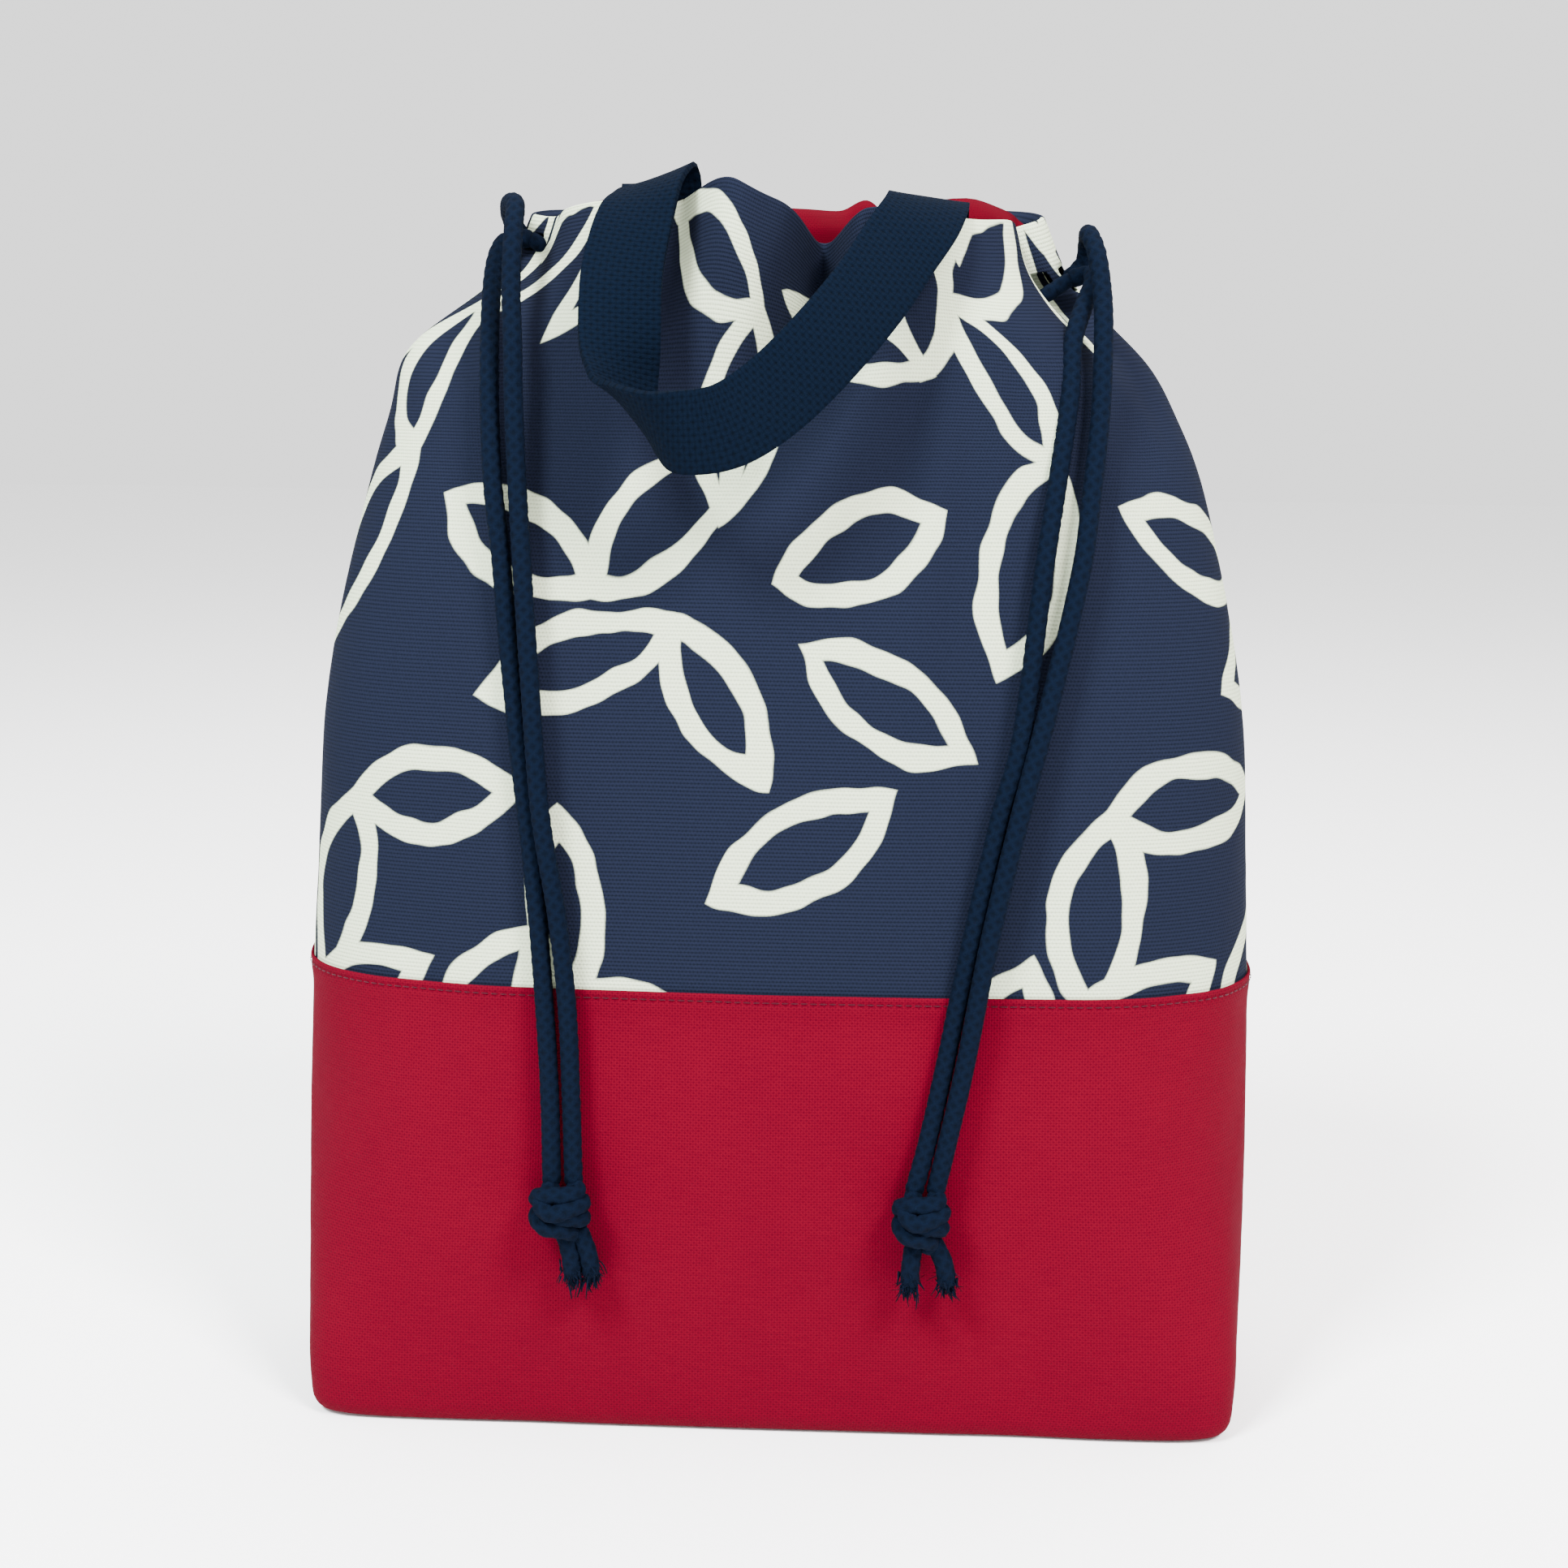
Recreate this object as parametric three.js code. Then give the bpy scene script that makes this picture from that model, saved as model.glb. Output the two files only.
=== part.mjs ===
// A lined, stuffed drawstring bag that stands on a boxed base, in millimetres.
// Frame: +Z up, the front faces -Y, +X to the right, origin on the floor under the middle of the base.
// The two drawstrings leave the channel at opposite sides, and a webbing handle hangs over the front.
import * as THREE from "three";

// ---- driving dimensions -------------------------------------------------------------------------

const SEAM_HEIGHT = 153; // top edge of the plain base, where the printed upper starts
const CHANNEL_BOTTOM = 368; // the stitched line under the drawstring channel
const MOUTH_HEIGHT = 396; // top edge of the channel
const LINING_ABOVE_MOUTH = 2; // the lining stands a little above the channel
const CANVAS = 1.6; // outer cloth, with the turned seams that stiffen it
const LINING = 1.0; // lining cloth
const CLEARANCE = 0.3; // gap between two pieces that touch in the real bag
const CHANNEL_DEPTH = 11.5; // from the outer face of the channel to its inner face
const CHANNEL_SKIN = 1.2; // cloth on each side of the channel
const CHANNEL_END = 10; // the channel stops this far from the side seam, where the cords leave
const SEAM_GAP = 0.2; // half of the gap between the front and back cloth at a side seam
const FLOOR_THICKNESS = 2;
const AROUND_STEPS = 26; // flats round each half of the bag
const CORD_DIAMETER = 6;
const WEBBING_WIDTH = 25;
const WEBBING_THICKNESS = 1.8;
const WEBBING_TUCK = 25; // how far each handle end runs down inside the mouth
const KNOT_RADIUS = 9;
const KNOT_HEIGHT = 15;
const KNOT_Z = 82; // middle of each knot above the floor
const KNOT_Y = -63; // each knot rests against the front of the base

// The bag's outer size by height: [height, half width, half depth, squareness of the plan].
const PROFILE = [
  [0, 152, 46, 9],
  [8, 156, 49, 8.5],
  [30, 159, 51, 7.5],
  [80, 159, 52.5, 5.5],
  [153, 157.5, 53.5, 4],
  [235, 153.5, 52, 3.1],
  [268, 148, 50, 2.8],
  [300, 140.5, 46, 2.6],
  [333, 130, 41, 2.45],
  [352, 119, 37, 2.35],
  [368, 103, 33, 2.25],
  [382, 94, 31.5, 2.225],
  [396, 85, 30, 2.2],
];

const NAVY_PRINT = "#2f3350";
const CRIMSON = "#a30636";
const NAVY_WEBBING = "#10233c";
const NAVY_CORD = "#10243f";

const part = new THREE.Group();
part.name = "drawstring_bag";

function addPiece(name, geometry, color, roughness = 0.9) {
  const material = new THREE.MeshStandardMaterial({ color, roughness, metalness: 0 });
  const piece = new THREE.Mesh(geometry, material);
  piece.name = name;
  part.add(piece);
}

// ---- the bag's plan -----------------------------------------------------------------------------

// Half width, half depth and squareness of the outer face at a height.
function sizeAt(z) {
  let row = 0;
  while (row < PROFILE.length - 2 && z > PROFILE[row + 1][0]) row += 1;
  const [low, high] = [PROFILE[row], PROFILE[row + 1]];
  const share = THREE.MathUtils.clamp((z - low[0]) / (high[0] - low[0]), 0, 1);
  return [1, 2, 3].map((column) => THREE.MathUtils.lerp(low[column], high[column], share));
}

// A point at an angle round the plan, moved in from the outer face. Angle 0 is the right seam and
// 1.5 PI the middle of the front.
function planPoint(angle, z, inset) {
  const [width, depth, square] = sizeAt(z);
  const power = 2 / square;
  const bend = (value) => Math.sign(value) * Math.abs(value) ** power;
  const at = (a) => new THREE.Vector2(width * bend(Math.cos(a)), depth * bend(Math.sin(a)));
  const step = 0.01;
  const along = at(angle + step).sub(at(angle - step)).normalize();
  return at(angle).add(new THREE.Vector2(-along.y, along.x).multiplyScalar(inset));
}

// The angle round the plan, in its first quarter, at which a line moved in by inset is y from the
// middle plane.
function angleAt(y, z, inset) {
  const [, depth, square] = sizeAt(z);
  return Math.asin((y / (depth - inset)) ** (square / 2));
}

// Bends a flat geometry, whose X runs 0..1 from one side seam to the other, Y from 0 inwards and
// Z up, onto the front or back half of the plan. It stops at endY short of the middle plane.
function bendToPlan(geometry, isFront, thickness, insetAt, endY) {
  const places = geometry.getAttribute("position");
  for (let i = 0; i < places.count; i += 1) {
    const z = places.getZ(i);
    const first = angleAt(endY, z, insetAt(z) + thickness);
    const share = THREE.MathUtils.lerp(first, Math.PI - first, places.getX(i));
    const angle = (isFront ? Math.PI : 0) + share;
    const point = planPoint(angle, z, insetAt(z) + places.getY(i));
    const y = isFront ? Math.min(point.y, -endY) : Math.max(point.y, endY);
    places.setXYZ(i, point.x, y, z);
  }
  geometry.computeVertexNormals();
  return geometry;
}

// One half of a cloth wall between two heights, with a row of corners at each height in PROFILE.
function clothHalf(isFront, bottom, top, thickness, insetAt) {
  const between = PROFILE.map(([z]) => z).filter((z) => z > bottom + 1 && z < top - 1);
  const rows = [bottom, ...between, top];
  const flat = new THREE.BoxGeometry(1, thickness, 1, AROUND_STEPS, 1, rows.length - 1);
  flat.translate(0.5, thickness / 2, 0.5);
  const places = flat.getAttribute("position");
  for (let i = 0; i < places.count; i += 1) {
    places.setZ(i, rows[Math.round(places.getZ(i) * (rows.length - 1))]);
  }
  return bendToPlan(flat, isFront, thickness, insetAt, SEAM_GAP);
}

// One half of the drawstring channel: a flat sleeve, open at both ends.
function channelHalf(isFront) {
  const outline = new THREE.Shape();
  outline.moveTo(0, CHANNEL_BOTTOM + CLEARANCE);
  outline.lineTo(CHANNEL_DEPTH, CHANNEL_BOTTOM + CLEARANCE);
  outline.lineTo(CHANNEL_DEPTH, MOUTH_HEIGHT);
  outline.lineTo(0, MOUTH_HEIGHT);
  outline.closePath();
  const hollow = new THREE.Path();
  const innerLow = CHANNEL_BOTTOM + CLEARANCE + CHANNEL_SKIN;
  const innerHigh = MOUTH_HEIGHT - CHANNEL_SKIN;
  hollow.moveTo(CHANNEL_SKIN, innerLow);
  hollow.lineTo(CHANNEL_SKIN, innerHigh);
  hollow.lineTo(CHANNEL_DEPTH - CHANNEL_SKIN, innerHigh);
  hollow.lineTo(CHANNEL_DEPTH - CHANNEL_SKIN, innerLow);
  hollow.closePath();
  outline.holes.push(hollow);
  const sleeve = new THREE.ExtrudeGeometry(outline, {
    depth: 1,
    steps: AROUND_STEPS,
    bevelEnabled: false,
  });
  // The shape's own X is inwards and its Y is up, and the extrusion runs along the seam.
  const turned = new THREE.Matrix4().makeBasis(
    new THREE.Vector3(0, 1, 0),
    new THREE.Vector3(0, 0, 1),
    new THREE.Vector3(1, 0, 0),
  );
  sleeve.applyMatrix4(turned);
  return bendToPlan(sleeve, isFront, CHANNEL_DEPTH, () => 0, CHANNEL_END);
}

// A flat plate with the plan of one height, moved in from the outer face.
function floorPlate(bottom, thickness, inset) {
  const count = 72;
  const corners = Array.from({ length: count }, (_, i) =>
    planPoint((2 * Math.PI * i) / count, bottom, inset),
  );
  const shape = new THREE.Shape(corners);
  const plate = new THREE.ExtrudeGeometry(shape, { depth: thickness, bevelEnabled: false });
  plate.translate(0, 0, bottom);
  return plate;
}

// ---- cords --------------------------------------------------------------------------------------

function cordAlong(points, steps) {
  const sides = 8;
  const section = new THREE.Shape(
    Array.from({ length: sides }, (_, i) => {
      const angle = (2 * Math.PI * i) / sides;
      const radius = CORD_DIAMETER / 2;
      return new THREE.Vector2(radius * Math.cos(angle), radius * Math.sin(angle));
    }),
  );
  const path = new THREE.CatmullRomCurve3(points.map((p) => new THREE.Vector3(...p)));
  return new THREE.ExtrudeGeometry(section, { steps, extrudePath: path, bevelEnabled: false });
}

// The part of a drawstring that stays in the channel: it leaves at one side and passes the other.
function cordInChannel(z, leavesLeft) {
  const count = 36;
  const inset = CHANNEL_DEPTH / 2 - CLEARANCE;
  const skipped = angleAt(CHANNEL_END - 1, z, inset);
  const start = (leavesLeft ? Math.PI : 0) + skipped;
  const turn = 2 * (Math.PI - skipped);
  const route = Array.from({ length: count + 1 }, (_, i) => {
    const point = planPoint(start + (turn * i) / count, z, inset);
    return [point.x, point.y, z];
  });
  return cordAlong(route, 72);
}

const LEFT_CORD_Z = 388.5;
const RIGHT_CORD_Z = 377.5;

// The free lengths, as [x, y, z] from where the cord leaves the channel down to the knot.
const STRAND_ROUTES = {
  left_strand_front: [
    [-82.5, -5.6, LEFT_CORD_Z],
    [-87, -4, 388],
    [-91, -6.5, 386.5],
    [-92.5, -15, 379],
    [-92, -26, 365],
    [-91, -35, 350],
    [-90, -41, 332],
    [-88.5, -46, 312],
    [-85.5, -49.5, 288],
    [-83, -52.5, 262],
    [-79, -56, 225],
    [-76, -57.5, 200],
    [-72.7, -59.5, 166],
    [-70, -61.5, 125],
    [-69.1, -63, 90.6],
  ],
  left_strand_back: [
    [-83.2, 5.4, LEFT_CORD_Z],
    [-87, 5, 390],
    [-90, 2.5, 395],
    [-88.5, -8.5, 398.8],
    [-84.8, -20, 397.5],
    [-84, -30, 388],
    [-83.6, -37, 372],
    [-82.4, -42.5, 355],
    [-81.8, -45.5, 337],
    [-80.5, -48.5, 313],
    [-78.5, -53, 288],
    [-76, -57, 256],
    [-72.4, -60.5, 212],
    [-67, -61.8, 178],
    [-64, -61.8, 148],
    [-62.8, -62, 115],
    [-62.1, -63, 90.6],
  ],
  right_strand_back: [
    [91, 5.6, RIGHT_CORD_Z],
    [96, 5.5, 383],
    [96.5, 1, 389.5],
    [96, -9, 391],
    [98, -18, 384],
    [99.5, -26, 370],
    [99.5, -33, 355],
    [98.8, -39, 335],
    [96.5, -45.5, 312],
    [93.6, -50.5, 288],
    [85.5, -56.5, 250],
    [76.5, -61, 212],
    [68.5, -63, 174],
    [62, -63, 134],
    [57, -63, 108],
    [53.4, -63, 90.6],
  ],
  right_strand_front: [
    [91, -5.6, RIGHT_CORD_Z],
    [96.5, -6.5, 378.5],
    [97.5, -12.5, 376],
    [94, -20.5, 368],
    [90.5, -28.5, 357],
    [89.5, -36.5, 340],
    [85.6, -45, 312],
    [82.3, -50.5, 288],
    [76.8, -56, 238],
    [70.7, -57.8, 212],
    [65, -59.5, 184],
    [59.3, -59.5, 153],
    [56, -59.8, 134],
    [50.9, -61, 108],
    [46.6, -63, 90.6],
  ],
};
const STRAND_STEPS = 56;

// Where each knot sits, and how far sideways its two tails point.
const KNOTS = { left: { x: -65.5, spread: [1, 2] }, right: { x: 50, spread: [-4, 3] } };
const TAIL_LENGTH = 21;
const TAIL_OFFSET = 3.5; // half of the distance between the two tails at the knot

function knotGeometry(x) {
  const half = KNOT_HEIGHT / 2;
  const profile = [
    [0, -half],
    [0.55 * KNOT_RADIUS, -half],
    [0.9 * KNOT_RADIUS, -0.6 * half],
    [KNOT_RADIUS, 0],
    [0.9 * KNOT_RADIUS, 0.6 * half],
    [0.55 * KNOT_RADIUS, half],
    [0, half],
  ];
  const knot = new THREE.LatheGeometry(
    profile.map(([r, y]) => new THREE.Vector2(r, y)),
    20,
  );
  knot.rotateX(Math.PI / 2);
  knot.translate(x, KNOT_Y, KNOT_Z);
  return knot;
}

function tailGeometry(x, spread, side) {
  const top = KNOT_Z - KNOT_HEIGHT / 2 - CLEARANCE;
  const start = [x + side * TAIL_OFFSET, KNOT_Y, top];
  const end = [start[0] + spread, KNOT_Y, top - TAIL_LENGTH];
  return cordAlong([start, end], 4);
}

// ---- handle -------------------------------------------------------------------------------------

// The webbing's middle line and the direction across it, from the left end to the right end.
const HANDLE_STATIONS = [
  { middle: [-39, -16, 401.6], across: [25, -3, 0] },
  { middle: [-39, -20.5, 405.5], across: [24, -1, 3] },
  { middle: [-42, -29, 402], across: [23, 0, 10] },
  { middle: [-45, -38, 393], across: [23, 1, 9] },
  { middle: [-48, -47, 376], across: [24, 2, 5] },
  { middle: [-48, -54, 359], across: [24, 6, 0] },
  { middle: [-47, -59, 346], across: [19, 9, -12] },
  { middle: [-45, -65, 337], across: [16, 8, -18] },
  { middle: [-39, -74, 332], across: [14, 6, -20] },
  { middle: [-29, -80, 329], across: [13, 4, -21] },
  { middle: [-14, -80, 331], across: [15, 4, -19] },
  { middle: [0, -76, 340], across: [18, 4, -17] },
  { middle: [14, -70, 354], across: [20, 5, -14] },
  { middle: [27, -60, 370], across: [21, 5, -12] },
  { middle: [37, -47, 386], across: [22, 4, -10] },
  { middle: [43.5, -34, 395.5], across: [23, 3, -8] },
  { middle: [45, -21.5, 403.4], across: [24, 2, -2] },
  { middle: [45, -16, 401.6], across: [25, 3, 0] },
];

// The strap: a flat bar whose X runs 0..1 along the stations.
function strapGeometry() {
  const curve = (key) =>
    new THREE.CatmullRomCurve3(HANDLE_STATIONS.map((s) => new THREE.Vector3(...s[key])));
  const [middle, across] = [curve("middle"), curve("across")];
  const strap = new THREE.BoxGeometry(1, WEBBING_WIDTH, WEBBING_THICKNESS, 68, 2, 1);
  const places = strap.getAttribute("position");
  for (let i = 0; i < places.count; i += 1) {
    const share = places.getX(i) + 0.5;
    const along = middle.getTangent(share);
    const side = across.getPoint(share);
    side.addScaledVector(along, -side.dot(along)).normalize();
    const up = new THREE.Vector3().crossVectors(along, side);
    const point = middle.getPoint(share);
    point.addScaledVector(side, places.getY(i)).addScaledVector(up, places.getZ(i));
    places.setXYZ(i, point.x, point.y, point.z);
  }
  strap.computeVertexNormals();
  return strap;
}

// One sewn end of the handle, flat against the lining inside the mouth.
function handleEnd(x) {
  const top = MOUTH_HEIGHT + LINING_ABOVE_MOUTH;
  const inset = CHANNEL_DEPTH + LINING + 3 * CLEARANCE;
  const steps = 8;
  const end = new THREE.BoxGeometry(
    WEBBING_WIDTH,
    WEBBING_THICKNESS,
    WEBBING_TUCK,
    steps,
    1,
    2,
  );
  end.translate(x, 0, top - WEBBING_TUCK / 2);
  const places = end.getAttribute("position");
  for (let i = 0; i < places.count; i += 1) {
    const z = places.getZ(i);
    const depth = inset + WEBBING_THICKNESS / 2 + places.getY(i);
    const [width, , square] = sizeAt(z);
    const share = places.getX(i) / width;
    const angle = 2 * Math.PI - Math.acos(Math.sign(share) * Math.abs(share) ** (square / 2));
    const point = planPoint(angle, z, depth);
    places.setXYZ(i, point.x, point.y, z);
  }
  end.computeVertexNormals();
  return end;
}

// ---- the assembly -------------------------------------------------------------------------------

const SIDES = { front: true, back: false };
const liningStart = FLOOR_THICKNESS + 2 * CLEARANCE + LINING;
const liningInset = (z) => {
  const share = THREE.MathUtils.smoothstep(z, CHANNEL_BOTTOM - 22, CHANNEL_BOTTOM - 2);
  return THREE.MathUtils.lerp(CANVAS + CLEARANCE, CHANNEL_DEPTH + CLEARANCE, share);
};

for (const [side, isFront] of Object.entries(SIDES)) {
  const flush = () => 0;
  addPiece(`base_${side}`, clothHalf(isFront, 0, SEAM_HEIGHT, CANVAS, flush), CRIMSON);
  addPiece(
    `print_${side}`,
    clothHalf(isFront, SEAM_HEIGHT + CLEARANCE, CHANNEL_BOTTOM, CANVAS, flush),
    NAVY_PRINT,
  );
  addPiece(`casing_${side}`, channelHalf(isFront), NAVY_PRINT);
  const top = MOUTH_HEIGHT + LINING_ABOVE_MOUTH;
  addPiece(`lining_${side}`, clothHalf(isFront, liningStart, top, LINING, liningInset), CRIMSON);
}

const floorInset = CANVAS + CLEARANCE;
addPiece("base_floor", floorPlate(0, FLOOR_THICKNESS, floorInset), CRIMSON);
addPiece("lining_floor", floorPlate(FLOOR_THICKNESS + CLEARANCE, LINING, floorInset), CRIMSON);

addPiece("left_cord_loop", cordInChannel(LEFT_CORD_Z, true), NAVY_CORD);
addPiece("right_cord_loop", cordInChannel(RIGHT_CORD_Z, false), NAVY_CORD);

for (const [name, route] of Object.entries(STRAND_ROUTES)) {
  addPiece(name, cordAlong(route, STRAND_STEPS), NAVY_CORD);
}
for (const [side, { x, spread }] of Object.entries(KNOTS)) {
  addPiece(`${side}_knot`, knotGeometry(x), NAVY_CORD);
  addPiece(`${side}_tail_a`, tailGeometry(x, spread[0], -1), NAVY_CORD);
  addPiece(`${side}_tail_b`, tailGeometry(x, spread[1], 1), NAVY_CORD);
}

addPiece("handle_strap", strapGeometry(), NAVY_WEBBING);
addPiece("handle_end_left", handleEnd(HANDLE_STATIONS[0].middle[0]), NAVY_WEBBING);
addPiece("handle_end_right", handleEnd(HANDLE_STATIONS.at(-1).middle[0]), NAVY_WEBBING);

export default part;
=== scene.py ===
"""A filled two-tone drawstring bag: cloth, lining, cords and webbing handle, built round its CAD frame."""

import logging
import math
from dataclasses import dataclass, field
from enum import Enum

import bmesh
import bpy
import numpy as np
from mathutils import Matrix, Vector


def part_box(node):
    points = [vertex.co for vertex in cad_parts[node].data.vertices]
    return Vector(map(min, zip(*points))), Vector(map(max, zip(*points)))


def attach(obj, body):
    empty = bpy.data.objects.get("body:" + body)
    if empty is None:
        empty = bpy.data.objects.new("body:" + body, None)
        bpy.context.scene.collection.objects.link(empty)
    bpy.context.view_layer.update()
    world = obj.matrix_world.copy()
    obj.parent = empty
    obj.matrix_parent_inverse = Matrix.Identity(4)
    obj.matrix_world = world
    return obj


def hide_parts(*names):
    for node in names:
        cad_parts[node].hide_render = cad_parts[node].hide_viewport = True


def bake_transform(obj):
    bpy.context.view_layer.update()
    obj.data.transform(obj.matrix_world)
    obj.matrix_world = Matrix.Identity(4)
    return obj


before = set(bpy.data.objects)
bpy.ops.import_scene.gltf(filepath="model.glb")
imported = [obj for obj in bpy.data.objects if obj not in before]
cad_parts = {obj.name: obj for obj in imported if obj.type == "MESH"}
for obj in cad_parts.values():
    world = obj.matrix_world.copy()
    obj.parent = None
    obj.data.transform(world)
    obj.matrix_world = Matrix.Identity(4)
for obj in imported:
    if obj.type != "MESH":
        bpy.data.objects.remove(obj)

logging.basicConfig(level=logging.INFO, format="%(name)s: %(message)s")
log = logging.getLogger("drawstring_bag")

MM = 0.001
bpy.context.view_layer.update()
CLOTH_UV = "cloth"  # width and height of the cut cloth, in metres
BAG_BODY = "bag"
UP = np.array((0.0, 0.0, 1.0))
SAMPLES_BETWEEN = 24  # points that a smooth line gets between two chosen points


class Side(Enum):
    """The side of the bag that a drawstring hangs from."""

    LEFT = "left"
    RIGHT = "right"


class Socket(Enum):
    """Socket types of a Geometry Nodes group, by the name that Blender gives them."""

    GEOMETRY = "NodeSocketGeometry"
    LENGTH = "NodeSocketFloat"
    MATERIAL = "NodeSocketMaterial"
    SEED = "NodeSocketInt"


# ---- small helpers --------------------------------------------------------------------------------


def srgb(code: str) -> tuple[float, float, float, float]:
    """A hex colour as the linear RGBA that a shader socket holds.

    Args:
        code: six hex digits, such as "2f3350".

    Returns:
        Linear red, green, blue and an alpha of 1.
    """
    values = [int(code[i : i + 2], 16) / 255 for i in (0, 2, 4)]
    linear = [v / 12.92 if v <= 0.04045 else ((v + 0.055) / 1.055) ** 2.4 for v in values]
    return (linear[0], linear[1], linear[2], 1.0)


def smooth(value: np.ndarray | float, low: float, high: float) -> np.ndarray:
    """0 under low, 1 over high and an even curve between them.

    Args:
        value: where to read the curve.
        low: where it leaves 0.
        high: where it reaches 1.

    Returns:
        The curve's height.
    """
    share = np.clip((np.asarray(value, float) - low) / (high - low), 0, 1)
    return share * share * (3 - 2 * share)


def add_node(tree: bpy.types.NodeTree, kind: str, inputs: dict | None = None, **settings) -> bpy.types.Node:
    """Adds one node to a tree.

    Args:
        tree: a shader or geometry tree.
        kind: the node's type, such as "ShaderNodeMath".
        inputs: socket name or number to a value, or to the output socket that feeds it.
        settings: the node's own properties.

    Returns:
        The new node.
    """
    node = tree.nodes.new(kind)
    for name, value in settings.items():
        setattr(node, name, value)
    for key, value in (inputs or {}).items():
        if isinstance(value, bpy.types.NodeSocket):
            tree.links.new(value, node.inputs[key])
        else:
            node.inputs[key].default_value = value
    return node


def calculate(tree: bpy.types.NodeTree, operation: str, *values) -> bpy.types.NodeSocket:
    """The result of one arithmetic step in a tree.

    Args:
        tree: a shader or geometry tree.
        operation: the operation of a Math node.
        values: numbers or output sockets.

    Returns:
        The step's output socket.
    """
    node = add_node(tree, "ShaderNodeMath", dict(enumerate(values)), operation=operation)
    return node.outputs[0]


def link_object(name: str, mesh: bpy.types.Mesh) -> bpy.types.Object:
    """A new object for a mesh, in the scene."""
    made = bpy.data.objects.new(name, mesh)
    bpy.context.scene.collection.objects.link(made)
    return made


def mesh_from(name: str, points: np.ndarray, faces: list, uvs: np.ndarray | None = None) -> bpy.types.Object:
    """An object from points and faces.

    Args:
        name: the piece's name.
        points: one row of three metres for each point.
        faces: lists of point numbers.
        uvs: one row of two metres for each corner, in the order of the faces.

    Returns:
        The new object, shaded smooth.
    """
    mesh = bpy.data.meshes.new(name)
    mesh.from_pydata(np.asarray(points, float).tolist(), [], [list(map(int, f)) for f in faces])
    if uvs is not None:
        layer = mesh.uv_layers.new(name=CLOTH_UV)
        layer.data.foreach_set("uv", np.asarray(uvs, np.float32).ravel())
    mesh.polygons.foreach_set("use_smooth", [True] * len(mesh.polygons))
    mesh.update()
    return link_object(name, mesh)


def applied(obj: bpy.types.Object) -> bpy.types.Object:
    """Makes what an object's modifiers show its own plain mesh.

    Args:
        obj: the object, which keeps its name and place.

    Returns:
        The same object without modifiers.
    """
    now = bpy.context.evaluated_depsgraph_get()
    made = bpy.data.meshes.new_from_object(obj.evaluated_get(now), depsgraph=now)
    old = obj.data
    obj.modifiers.clear()
    obj.data = made
    made.name = obj.name
    bpy.data.meshes.remove(old)
    return obj


def catmull(points: list, step: float) -> np.ndarray:
    """An even smooth line through given points.

    Args:
        points: the points, in metres.
        step: the distance between two points of the result, in metres.

    Returns:
        One row for each point of the line.
    """
    known = np.asarray(points, float)
    padded = np.vstack([2 * known[0] - known[1], known, 2 * known[-1] - known[-2]])
    samples = []
    for i in range(1, len(padded) - 2):
        a, b, c, d = padded[i - 1 : i + 3]
        slope, bend, twist = c - a, 2 * a - 5 * b + 4 * c - d, 3 * b - a - 3 * c + d
        for t in np.linspace(0, 1, SAMPLES_BETWEEN, endpoint=False):
            samples.append(0.5 * (2 * b + slope * t + bend * t**2 + twist * t**3))
    samples.append(padded[-2])
    line = np.asarray(samples)
    run = run_along(line)
    even = np.linspace(0, run[-1], max(3, round(run[-1] / step) + 1))
    return np.column_stack([np.interp(even, run, line[:, k]) for k in range(line.shape[1])])


def run_along(line: np.ndarray) -> np.ndarray:
    """How far along a line of points each point lies, in the line's own units."""
    return np.concatenate([[0], np.cumsum(np.linalg.norm(np.diff(line, axis=0), axis=1))])


def length_of(line: np.ndarray) -> float:
    """The length of a line of points, in the line's own units."""
    return float(np.linalg.norm(np.diff(line, axis=0), axis=1).sum())


def ring_share(columns: int) -> np.ndarray:
    """Each column's share of the way round, from the left seam past the front."""
    return np.arange(columns) / columns


def hump(share: np.ndarray, place: float, width: float) -> np.ndarray:
    """A smooth hump of height 1 round a place on a ring.

    Args:
        share: shares of the way round.
        place: the share where the hump is highest.
        width: its width, as a share of the way round.

    Returns:
        The hump's height at each share.
    """
    apart = (share - place + 0.5) % 1 - 0.5
    return np.exp(-((apart / width) ** 2))


def grid_faces(rows: int, columns: int, closed: bool) -> list:
    """Four-sided faces of a grid of points, row by row.

    Args:
        rows: how many rows of points it has.
        columns: how many points a row has.
        closed: True where each row is a ring.

    Returns:
        The faces, as lists of point numbers.
    """
    faces = []
    for row in range(rows - 1):
        for i in range(columns if closed else columns - 1):
            low, low_next = row * columns + i, row * columns + (i + 1) % columns
            faces.append((low, low_next, low_next + columns, low + columns))
    return faces


def grid_uvs(ups: np.ndarray, acrosses: np.ndarray) -> list:
    """The corners of a grid's faces on the cut cloth, in the order of its faces.

    Args:
        ups: how far up the cloth each row lies.
        acrosses: how far across the cloth each column lies, with one more for a ring's last edge.

    Returns:
        Two numbers for each corner.
    """
    uvs = []
    for low, high in zip(ups, ups[1:]):
        for left, right in zip(acrosses, acrosses[1:]):
            uvs += [(left, low), (right, low), (right, high), (left, high)]
    return uvs


def frames_along(line: np.ndarray) -> tuple[np.ndarray, np.ndarray]:
    """Two directions across a line that turn as little as they can along it.

    Args:
        line: the points of the line.

    Returns:
        The two directions at each point.
    """
    along = np.gradient(line, axis=0)
    along /= np.linalg.norm(along, axis=1, keepdims=True)
    first = np.cross(along[0], (0.3, 1, 0.2))
    first /= np.linalg.norm(first)
    ones, twos = [first], [np.cross(along[0], first)]
    for i in range(1, len(line)):
        one = ones[-1] - along[i] * np.dot(ones[-1], along[i])
        one /= np.linalg.norm(one)
        ones.append(one)
        twos.append(np.cross(along[i], one))
    return np.asarray(ones), np.asarray(twos)


# ---- finishes -------------------------------------------------------------------------------------


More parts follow.
